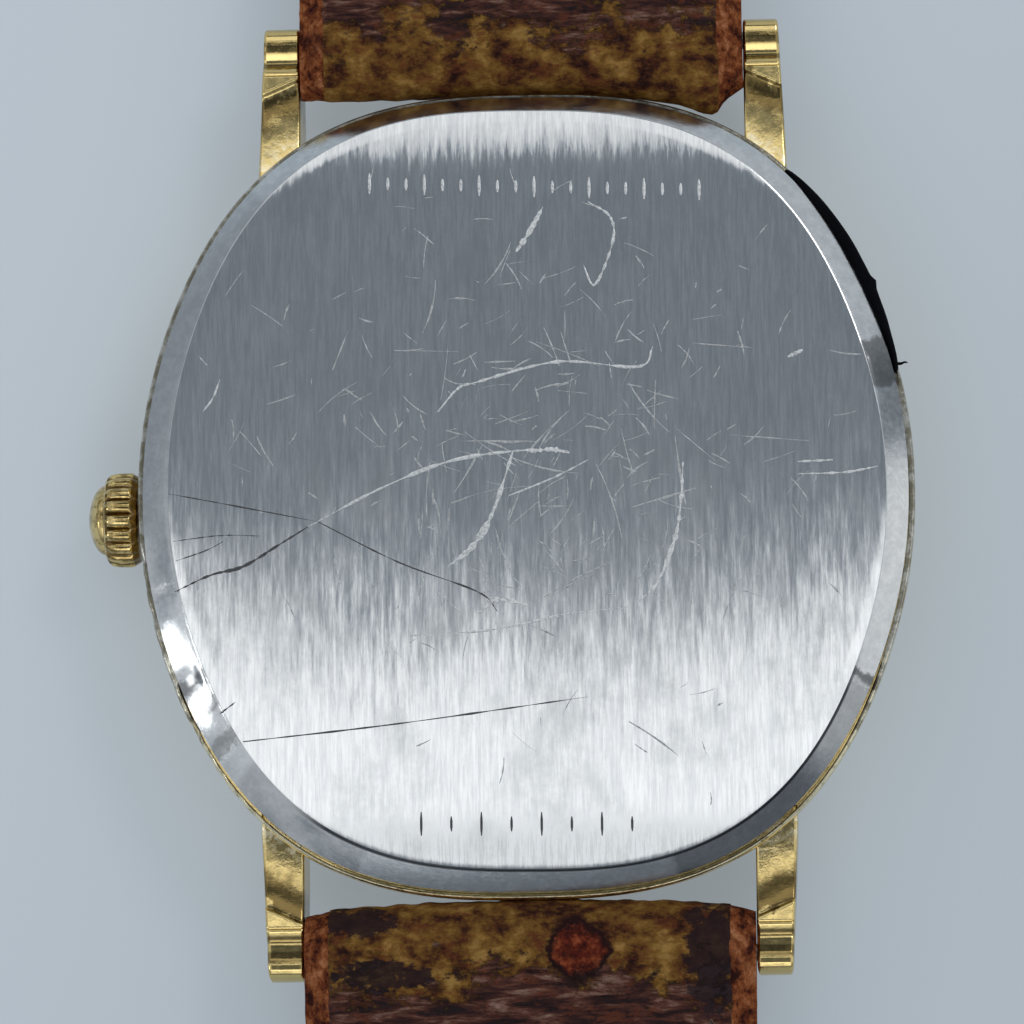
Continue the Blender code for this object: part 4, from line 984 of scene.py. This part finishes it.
def half_width(distance, length, pointed):
    wide, narrow = STRAP_WIDTH
    half = (wide + (narrow - wide) * max(0.0, distance) / length) / 2
    left = length - distance
    if pointed and left < POINT_LENGTH:
        half *= math.sqrt(max(0.0, 1 - (1 - left / POINT_LENGTH) ** 2)) * 0.85 + 0.15
    return half


def reach_at(table, x):
    return along_table(table, x) + 0.07 * wobble(x, 3.0, scale=1.8) + 0.03 * wobble(x, 9.0, scale=6.0)


def strap_grid(sign, length, end_z, reach_table, pointed, columns, width_share, layer):
    """Top and bottom grids of a strap layer.

    layer(distance, x, half, thickness) gives its two heights above the middle line."""
    far = length if pointed else length + 0.85
    tip = far - 3.2
    runs = np.concatenate([np.arange(0.0, 6.0, 0.22), np.arange(6.0, 30, 0.8), np.arange(30, tip, 1.6),
                           tip + 3.2 * np.sin(np.linspace(0, math.pi / 2, 12))])
    top, bottom = [], []
    for fold, run in [(angle, 0.0) for angle in FOLD_ANGLES] + [(None, run) for run in runs]:
        half = half_width(run, length, pointed) * width_share
        middle, thickness = strap_line(run, end_z)
        squeeze = 1.0
        if fold is not None:
            squeeze = math.sin(fold)
        elif not pointed and run > length - END_ROUND:
            squeeze = math.sqrt(max(0.0, 1 - ((run - length + END_ROUND) / 1.46) ** 2))
        top_row, bottom_row = [], []
        for share in columns:
            x = share * half
            above, below = layer(run, x, half, thickness)
            past = run if fold is None else -reach_at(reach_table, x) * math.cos(fold)
            y = sign * (BAR_Y + past)
            top_row.append((x, y, middle + above * squeeze))
            bottom_row.append((x, y, middle + below * squeeze))
        top.append(top_row)
        bottom.append(bottom_row)
    return top, bottom


def upper_layer(distance, x, half, thickness):
    """The padded leather: domed towards the dial side, with its raw edges sloping down on the wrist side."""
    edge = half - abs(x)
    drop = 0.10 + 0.62 * (1 - float(smoothstep(0.0, RAW_WIDTH + 0.25, edge))) ** 1.5
    rise = thickness * 0.34 * (1 - float(smoothstep(0.0, 3.2, edge)))
    rough = 0.05 * wobble(x, distance, 2.0, scale=1.1) * float(smoothstep(2.2, 0.6, edge))
    return thickness / 2 - drop + rough, -thickness / 2 + rise


def lining_layer(distance, x, half, thickness):
    """A thin skin glued over the leather's wrist side, puckered by wear near the case."""
    edge = half - abs(x)
    worn = float(smoothstep(9.0, 0.0, distance))
    pucker = 0.05 * worn * (wobble(x, distance, 5.0, scale=0.9) + 0.6 * wobble(x, distance, 8.0, scale=2.3))
    ribs = 0.05 * worn * wobble(x * 0.35, distance * 1.9, 1.0)
    top = thickness / 2 + pucker + ribs - 0.10 * (1 - float(smoothstep(0.0, 0.35, edge)))
    return top, thickness / 2 - 0.34


def ragged(grid, amount):
    """Wander the outer columns of a grid in and out, as a worn edge does."""
    for row in grid:
        for index in (0, 1, 2, 3, -1, -2, -3, -4):
            x, y, z = row[index]
            pull = amount * (wobble(y, x * 0.2, scale=0.8) + 0.5 * wobble(y, x * 0.2, 4.0, scale=3.0))
            row[index] = (x + math.copysign(pull, x), y, z)
    return grid


def cut_through(piece, outlines, low, high):
    """Cut vertical holes, given as outlines in mm, through a piece."""
    points, faces = together([tube([[(x, y, z) for x, y in outline] for z in (low, high)])
                              for outline in outlines])
    mesh = bpy.data.meshes.new("cutter")
    mesh.from_pydata([tuple(Vector(p) * MM) for p in points], [], [list(f) for f in faces])
    work = bmesh.new()
    work.from_mesh(mesh)
    bmesh.ops.recalc_face_normals(work, faces=work.faces)
    work.to_mesh(mesh)
    work.free()
    tool = linked("cutter", mesh)
    change = piece.modifiers.new("cut", "BOOLEAN")
    change.operation = "DIFFERENCE"
    change.object = tool
    graph = bpy.context.evaluated_depsgraph_get()
    cut = bpy.data.meshes.new_from_object(piece.evaluated_get(graph))
    piece.modifiers.clear()
    piece.data = cut
    bpy.data.objects.remove(tool, do_unlink=True)


def stitches(name, body, sign, length, end_z, pointed):
    """Sewn thread down both sides on the wrist side: each stitch is a sunk arch between two holes."""
    shapes = []
    distance = STITCH_FROM
    stop = length - (7.0 if pointed else 4.5)
    while distance < stop:
        for side in (-1, 1):
            rings = []
            for share in np.linspace(0, 1, 9):
                along = distance + STITCH_LENGTH * share
                middle, thickness = strap_line(along, end_z)
                wander = 0.06 * wobble(distance, side, scale=1.3)
                x = side * (half_width(along, length, pointed) - STITCH_IN + wander)
                z = middle + thickness / 2 - 0.12 + 0.14 * math.sin(math.pi * share)
                radius = 0.115 * (0.6 + 0.4 * math.sin(math.pi * share))
                y = sign * (BAR_Y + along)
                rings.append([(x + radius * 1.25 * math.cos(a), y, z + radius * math.sin(a)) for a in turns(8)])
            shapes.append(tube(rings))
        distance += STITCH_PITCH
    finished(name, *together(shapes), [THREAD], body, "upper_leather")


def strap(label, sign, length, end_z, reach_table, pointed):
    """One half of the strap: its leather, its lining, the holes through both, and the stitches."""
    body = f"strap_{label}"
    columns = np.concatenate([-1 + EDGE_COLUMNS, np.linspace(-0.64, 0.64, 19), (1 - EDGE_COLUMNS)[::-1]])
    top, bottom = strap_grid(sign, length, end_z, reach_table, pointed, columns, 1.0, upper_layer)

    def leather_or_edge(centre, normal):
        half = half_width(abs(centre.y) - BAR_Y, length, pointed)
        return 1 if normal.z > -0.3 and abs(centre.x) > half - 2.2 else 0

    upper = finished(f"{body}_leather", *slab(ragged(top, 0.05), bottom), [UPPER, RAW_EDGE], body,
                     "upper_leather", [f"{body}_upper"], choose=leather_or_edge, sharp=60)
    top, bottom = strap_grid(sign, length, end_z, [(x, r + 0.03) for x, r in reach_table], pointed,
                             np.linspace(-1, 1, 61), 1 - RAW_WIDTH / (STRAP_WIDTH[0] / 2), lining_layer)
    lining = finished(f"{body}_lining_skin", *slab(ragged(top, 0.16), ragged(bottom, 0.16)), [LINING], body,
                      "lining_leather", [f"{body}_lining"], sharp=60)
    if pointed:
        first = -BAR_Y - length + HOLE_FROM_TIP
        holes = [[(HOLE_RADIUS * math.cos(a), first + HOLE_PITCH * i + HOLE_RADIUS * math.sin(a))
                  for a in turns(28)] for i in range(HOLE_COUNT)]
    else:
        holes = [[(x, BUCKLE_Y + y) for x, y in ((-1.25, -3.2), (1.25, -3.2), (1.25, 3), (-1.25, 3))]]
    for piece in (upper, lining):
        cut_through(piece, holes, -3.0, 9.0)
    stitches(f"{body}_stitches", body, sign, length, end_z, pointed)


KEEPER_CORNER = 1.1
KEEPER_THINNING = 0.66 / 0.75           # of the section below, so that its wall is 0.66
# Section of a keeper: place across it from edge to edge, and depth below its outer face.
KEEPER_SECTION = [(-1, 0.32), (-0.93, 0.08), (-0.80, 0.0), (0.80, 0.0), (0.93, 0.08), (1, 0.32), (1, 0.55),
                  (0.9, 0.75), (-0.9, 0.75), (-1, 0.55)]


def rounded_box(half_x, half_z, radius, steps):
    """A closed path round a rectangle with round corners, as (x, z) points with their outward headings."""
    path = []
    for corner, (cx, cz) in enumerate(((1, 1), (-1, 1), (-1, -1), (1, -1))):
        for i in range(steps + 1):
            angle = math.radians(90 * corner + 90 * i / steps)
            c, s = math.cos(angle), math.sin(angle)
            path.append(((cx * (half_x - radius) + radius * c, cz * (half_z - radius) + radius * s), (c, s)))
    return path


def keeper(node, body):
    """A flat leather loop with softened edges."""
    low, high = size_of(node)
    centre, half = (low + high) / 2, (high - low) / 2
    rings = []
    for (x, z), (out_x, out_z) in rounded_box(half.x, half.z, KEEPER_CORNER, 8):
        rings.append([(centre.x + x - out_x * depth * KEEPER_THINNING, centre.y + across * half.y,
                       centre.z + z - out_z * depth * KEEPER_THINNING) for across, depth in KEEPER_SECTION])
    points, faces = tube(rings, rings_closed=True)
    finished(f"{node}_loop", points, faces, [UPPER], body, "upper_leather", [node], sharp=50)


# ---------------------------------------------------------------- buckle
BUCKLE_THICK, BUCKLE_CORNER = 1.2, 1.9
EYE_OUTER, EYE_INNER = 0.98, 0.57       # radii of the tongue's loop round the buckle bar
EYE_HALF = 0.8075                       # and half its width
TONGUE_Z = 1.66


def buckle():
    """A square-fronted tang buckle: a bent bar of soft rectangular section."""
    low, high = size_of("buckle_frame")
    mid_z, half_z = (low.z + high.z) / 2, (high.z - low.z) / 2
    arm, front = high.x - BUCKLE_THICK / 2, high.y - 0.85
    path = [(-arm, low.y), (-arm, front - BUCKLE_CORNER)]
    for degrees in range(170, 89, -10):
        angle = math.radians(degrees)
        path.append((-arm + BUCKLE_CORNER * (1 + math.cos(angle)),
                     front - BUCKLE_CORNER * (1 - math.sin(angle))))
    path += [(-x, y) for x, y in reversed(path)]
    rings = []
    last = len(path) - 1
    for i, (x, y) in enumerate(path):
        ahead, behind = path[min(i + 1, last)], path[max(i - 1, 0)]
        run = Vector((ahead[0] - behind[0], ahead[1] - behind[1])).normalized()
        thick = BUCKLE_THICK / 2 + 0.25 * float(smoothstep(high.x - 1.0, high.x - 4.0, abs(x)))
        shrink = 0.86 if i in (0, last) else 1.0
        ring = []
        for angle in turns(16):
            c, s = math.cos(angle), math.sin(angle)
            across = thick * shrink * math.copysign(abs(c) ** 0.55, c)
            up = half_z * shrink * math.copysign(abs(s) ** 0.6, s)
            ring.append((x + run.y * across, y - run.x * across, mid_z + up))
        rings.append(ring)
    finished("buckle_loop", *tube(rings), [GOLD_SMOOTH], "buckle", "gold_plate", ["buckle_frame"], sharp=50)


def tongue():
    """The buckle's tongue: an eye round the bar, and a tapered pin that rests on the front."""
    far = size_of("buckle_tongue")[1].y - 0.15
    rings = []
    for angle in turns(28):
        ring = []
        for phase in turns(10):
            r = (EYE_OUTER + EYE_INNER) / 2 + (EYE_OUTER - EYE_INNER) / 2 * math.cos(phase)
            ring.append((EYE_HALF * math.sin(phase), BUCKLE_Y + r * math.cos(angle),
                         BUCKLE_Z + r * math.sin(angle)))
        rings.append(ring)
    eye = tube(rings, rings_closed=True)
    spine = eased([(0, BUCKLE_Y + 0.72, BUCKLE_Z - 0.15), (0, BUCKLE_Y + 2.4, BUCKLE_Z - 0.62),
                   (0, BUCKLE_Y + 5.2, 1.72), (0, BUCKLE_Y + 7.2, TONGUE_Z), (0, far, TONGUE_Z)], 8)
    rings = []
    last = len(spine) - 1
    for i, centre in enumerate(spine):
        shrink = 0.55 if i == last else 1.0
        wide, tall = shrink * (0.72 - 0.22 * i / last), shrink * (0.34 - 0.06 * i / last)
        rings.append([(centre.x + wide * math.cos(a), centre.y, centre.z + tall * math.sin(a))
                      for a in turns(14)])
    finished("buckle_pin", *together([eye, tube(rings)]), [GOLD_SMOOTH], "tongue", "gold_plate",
             ["buckle_tongue"], sharp=50)


# ---------------------------------------------------------------- CAD pieces that stay
def dress_cad_nodes():
    brass = plain_metal("movement_brass", (0.62, 0.50, 0.27), 0.30, (0.5, 6.0, 1.0))
    nickel = plain_metal("nickel_steel", (0.56, 0.55, 0.53), 0.24, (5.0, 0.6, 1.0))
    turned_steel = plain_metal("turned_steel", (0.50, 0.51, 0.52), 0.26, (7.0, 0.8, 0.8))
    copper = plain_metal("copper_winding", (0.62, 0.27, 0.13), 0.32, (9.0, 0.4, 0.4))
    magnet = plain_metal("magnet", (0.13, 0.13, 0.14), 0.45, (4.0, 4.0, 4.0))
    board = moulded("circuit_board", (0.04, 0.20, 0.09), 0.42)
    nylon = moulded("nylon", (0.74, 0.74, 0.70), 0.50, Subsurface_Weight=0.1)
    seal = moulded("gasket_rubber", (0.012, 0.012, 0.013), 0.60)
    finishes = {
        brass: ("main_plate", "train_bridge", "center_wheel", "third_wheel", "fourth_wheel", "fifth_wheel",
                "minute_wheel", "hour_wheel", "setting_wheel"),
        nickel: ("clutch_wheel", "yoke", "setting_lever", "battery", "battery_clamp", "stator",
                 "quartz_crystal_can", "cannon_pinion", "bridge_screw_a", "bridge_screw_b", "coil_screw_a",
                 "coil_screw_b"),
        turned_steel: ("stem", "crown_tube", "spring_bar_12", "spring_bar_6", "spring_bar_12_tip_left",
                       "spring_bar_12_tip_right", "spring_bar_6_tip_left", "spring_bar_6_tip_right",
                       "buckle_bar"),
        copper: ("coil",),
        magnet: ("rotor",),
        board: ("circuit_board",),
        nylon: ("movement_ring",),
        seal: ("crystal_gasket", "back_gasket", "crown_gasket"),
        magnifying_glass(): ("crystal",),
        dial_paint(): ("dial",),
        GOLD_SMOOTH: ("hour_marker_12", "hour_marker_03", "hour_marker_06", "hour_marker_09", "hour_hand",
                      "minute_hand", "second_hand"),
    }
    for finish, names in finishes.items():
        for name in names:
            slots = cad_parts[name].data.materials
            slots.clear()
            slots.append(finish)


# ---------------------------------------------------------------- stage
FLOOR_HALF, FLOOR_DROP = 5000.0, 0.03


def floor():
    """A pale acrylic sheet, lit a little from below as on a light table."""
    finish = Finish("pale_floor", (0.31, 0.35, 0.39), 0.8, Emission_Color=(0.215, 0.243, 0.262),
                    Emission_Strength=1.0)
    x, y, _ = finish.axes()
    # painted shade: the floor's colour darkens towards the lower right
    tone = finish.mix((x - y).ranged(-30.0, 34.0), (0.325, 0.365, 0.408), (0.250, 0.288, 0.325))
    cloud = finish.noise(0.012, detail=3.0)
    finish.put(Base_Color=finish.mix(cloud * 0.1, tone, (0.36, 0.40, 0.44)))
    mesh = bpy.data.meshes.new("floor")
    corners = [(x * FLOOR_HALF, y * FLOOR_HALF, -FLOOR_DROP) for x, y in ((-1, -1), (1, -1), (1, 1), (-1, 1))]
    mesh.from_pydata([Vector(corner) * MM for corner in corners], [], [(0, 1, 2, 3)])
    mesh.materials.append(finish.material)
    thing = linked("floor", mesh)


def softbox(name, azimuth, elevation, distance, width, height, radiance):
    """A rectangular light that faces the watch. Azimuth is anticlockwise from +X, in degrees."""
    a, e = math.radians(azimuth), math.radians(elevation)
    away = Vector((math.cos(a) * math.cos(e), math.sin(a) * math.cos(e), math.sin(e)))
    light = bpy.data.lights.new(name, "AREA")
    light.shape = "RECTANGLE"
    light.size, light.size_y = width, height
    light.energy = radiance * math.pi * width * height
    lamp = linked(name, light)
    lamp.location = away * distance
    lamp.rotation_euler = away.to_track_quat("Z", "Y").to_euler()


CEILING = 0.72
# Lit and unlit areas overhead, as seen from the watch: their leans from upright towards +X and towards +Y in
# degrees (low, high), the softness of their edges, and their radiance.
OVERHEAD = [
    ((-32, 26), (1.5, 8.20), 0.7, 1.42),
    ((-14, 14), (-30, 0.2), 1.5, 0.16),
    ((-42, 36), (8.20, 18.8), 0.7, 0.30),
    ((-32, 32), (19.8, 36.0), 2.0, 1.15),
    ((-24, 24), (39.0, 66.0), 2.0, 0.12),
    ((-30, 22), (-56.0, -34.0), 2.0, 1.9),
]
SIDE_SOFTNESS = 3.0                     # least softness of their edges towards +X and -X
# Radiance low down all round, by azimuth in degrees anticlockwise from +X.
HORIZON = [(0, 0.95), (12, 0.95), (15, 0.24), (23, 0.24), (27, 0.66), (60, 0.66), (120, 0.55), (150, 0.44),
           (185, 0.48), (222, 0.40), (232, 0.22), (326, 0.20), (332, 0.75), (359, 0.95)]
LOW_DOWN = (0.30, 0.48)                 # rises between which it gives way to the radiance overhead
DIM_TINT, BRIGHT_TINT = (0.83, 0.93, 1.05), (0.985, 0.995, 1.0)


def room():
    """A pale room, with a lit panel, windows, and dark areas where a photographer would hide the sky."""
    world = bpy.data.worlds.new("room")
    world.use_nodes = True
    bpy.context.scene.world = world
    nodes = Nodes(world.node_tree)
    x, y, z = nodes.split(nodes.node("TexCoord", "Generated"))
    lean_x = x.worked("ARCTAN2", z).worked("DEGREES")
    lean_y = y.worked("ARCTAN2", z).worked("DEGREES")
    sky = CEILING
    for lean_x_range, lean_y_range, soft, radiance in OVERHEAD:
        share = lean_x.inside(*lean_x_range, max(soft, SIDE_SOFTNESS)) * lean_y.inside(*lean_y_range, soft)
        sky = (1.0 - share) * sky + share * radiance
    turn = (y.worked("ARCTAN2", x) / math.tau).worked("FRACT")
    ring = nodes.ramp(turn, *((azimuth / 360, (radiance,) * 3) for azimuth, radiance in HORIZON))
    low_down = z.ranged(*LOW_DOWN, 1.0, 0.0)
    total = sky * (1.0 - low_down) + ring * low_down
    background = world.node_tree.nodes["Background"]
    tint = nodes.mix(total.ranged(0.2, 1.1), DIM_TINT, BRIGHT_TINT)
    fill(world.node_tree, background.inputs["Strength"], total)
    fill(world.node_tree, background.inputs["Color"], tint)


# ---------------------------------------------------------------- camera
CAMERA_TARGET = Vector((0, 0, 4.0))
CAMERA_DISTANCE = 271.8
CAMERA_LEAN = (2.90, 9.19)              # degrees towards +X and towards -Y
CAMERA_ROLL = 0.608
CAMERA_LENS = 236.4
CAMERA_SHIFT = (-0.0143, -0.0145)


def camera():
    lean_x, lean_y = (math.sin(math.radians(a)) for a in CAMERA_LEAN)
    away = Vector((lean_x, -lean_y, math.sqrt(1 - lean_x ** 2 - lean_y ** 2)))
    right = Vector((0, 1, 0)).cross(away).normalized()
    up = away.cross(right)
    roll = math.radians(CAMERA_ROLL)
    across = right * math.cos(roll) - up * math.sin(roll)
    upward = up * math.cos(roll) + right * math.sin(roll)
    data = bpy.data.cameras.new("camera")
    data.lens = CAMERA_LENS
    data.sensor_width = 36.0
    data.shift_x, data.shift_y = CAMERA_SHIFT
    data.clip_start, data.clip_end = 0.01, 20.0
    view = linked("camera", data)
    turn = Matrix((across, upward, away)).transposed().to_4x4()
    view.matrix_world = Matrix.Translation((CAMERA_TARGET + away * CAMERA_DISTANCE) * MM) @ turn
    bpy.context.scene.camera = view


camera()
room()
floor()
softbox("window", 192, 22, 0.90, 0.14, 0.12, 7.0)
softbox("key", 45, 48, 0.95, 0.30, 0.22, 5.0)

case_back()
long_scratches()
fine_scratches()
engraved_marks()
case_band()
seam_reflection_strip()
lugs()
crown()
strap("12", 1, SHORT_STRAP, BUCKLE_Z, REACH_12, False)
strap("6", -1, LONG_STRAP, STRAP_THICK / 2, REACH_6, True)
keeper("fixed_keeper", "strap_12")
keeper("free_keeper", "free_keeper")
buckle()
tongue()
dress_cad_nodes()
bpy.context.scene.view_settings.view_transform = "Standard"
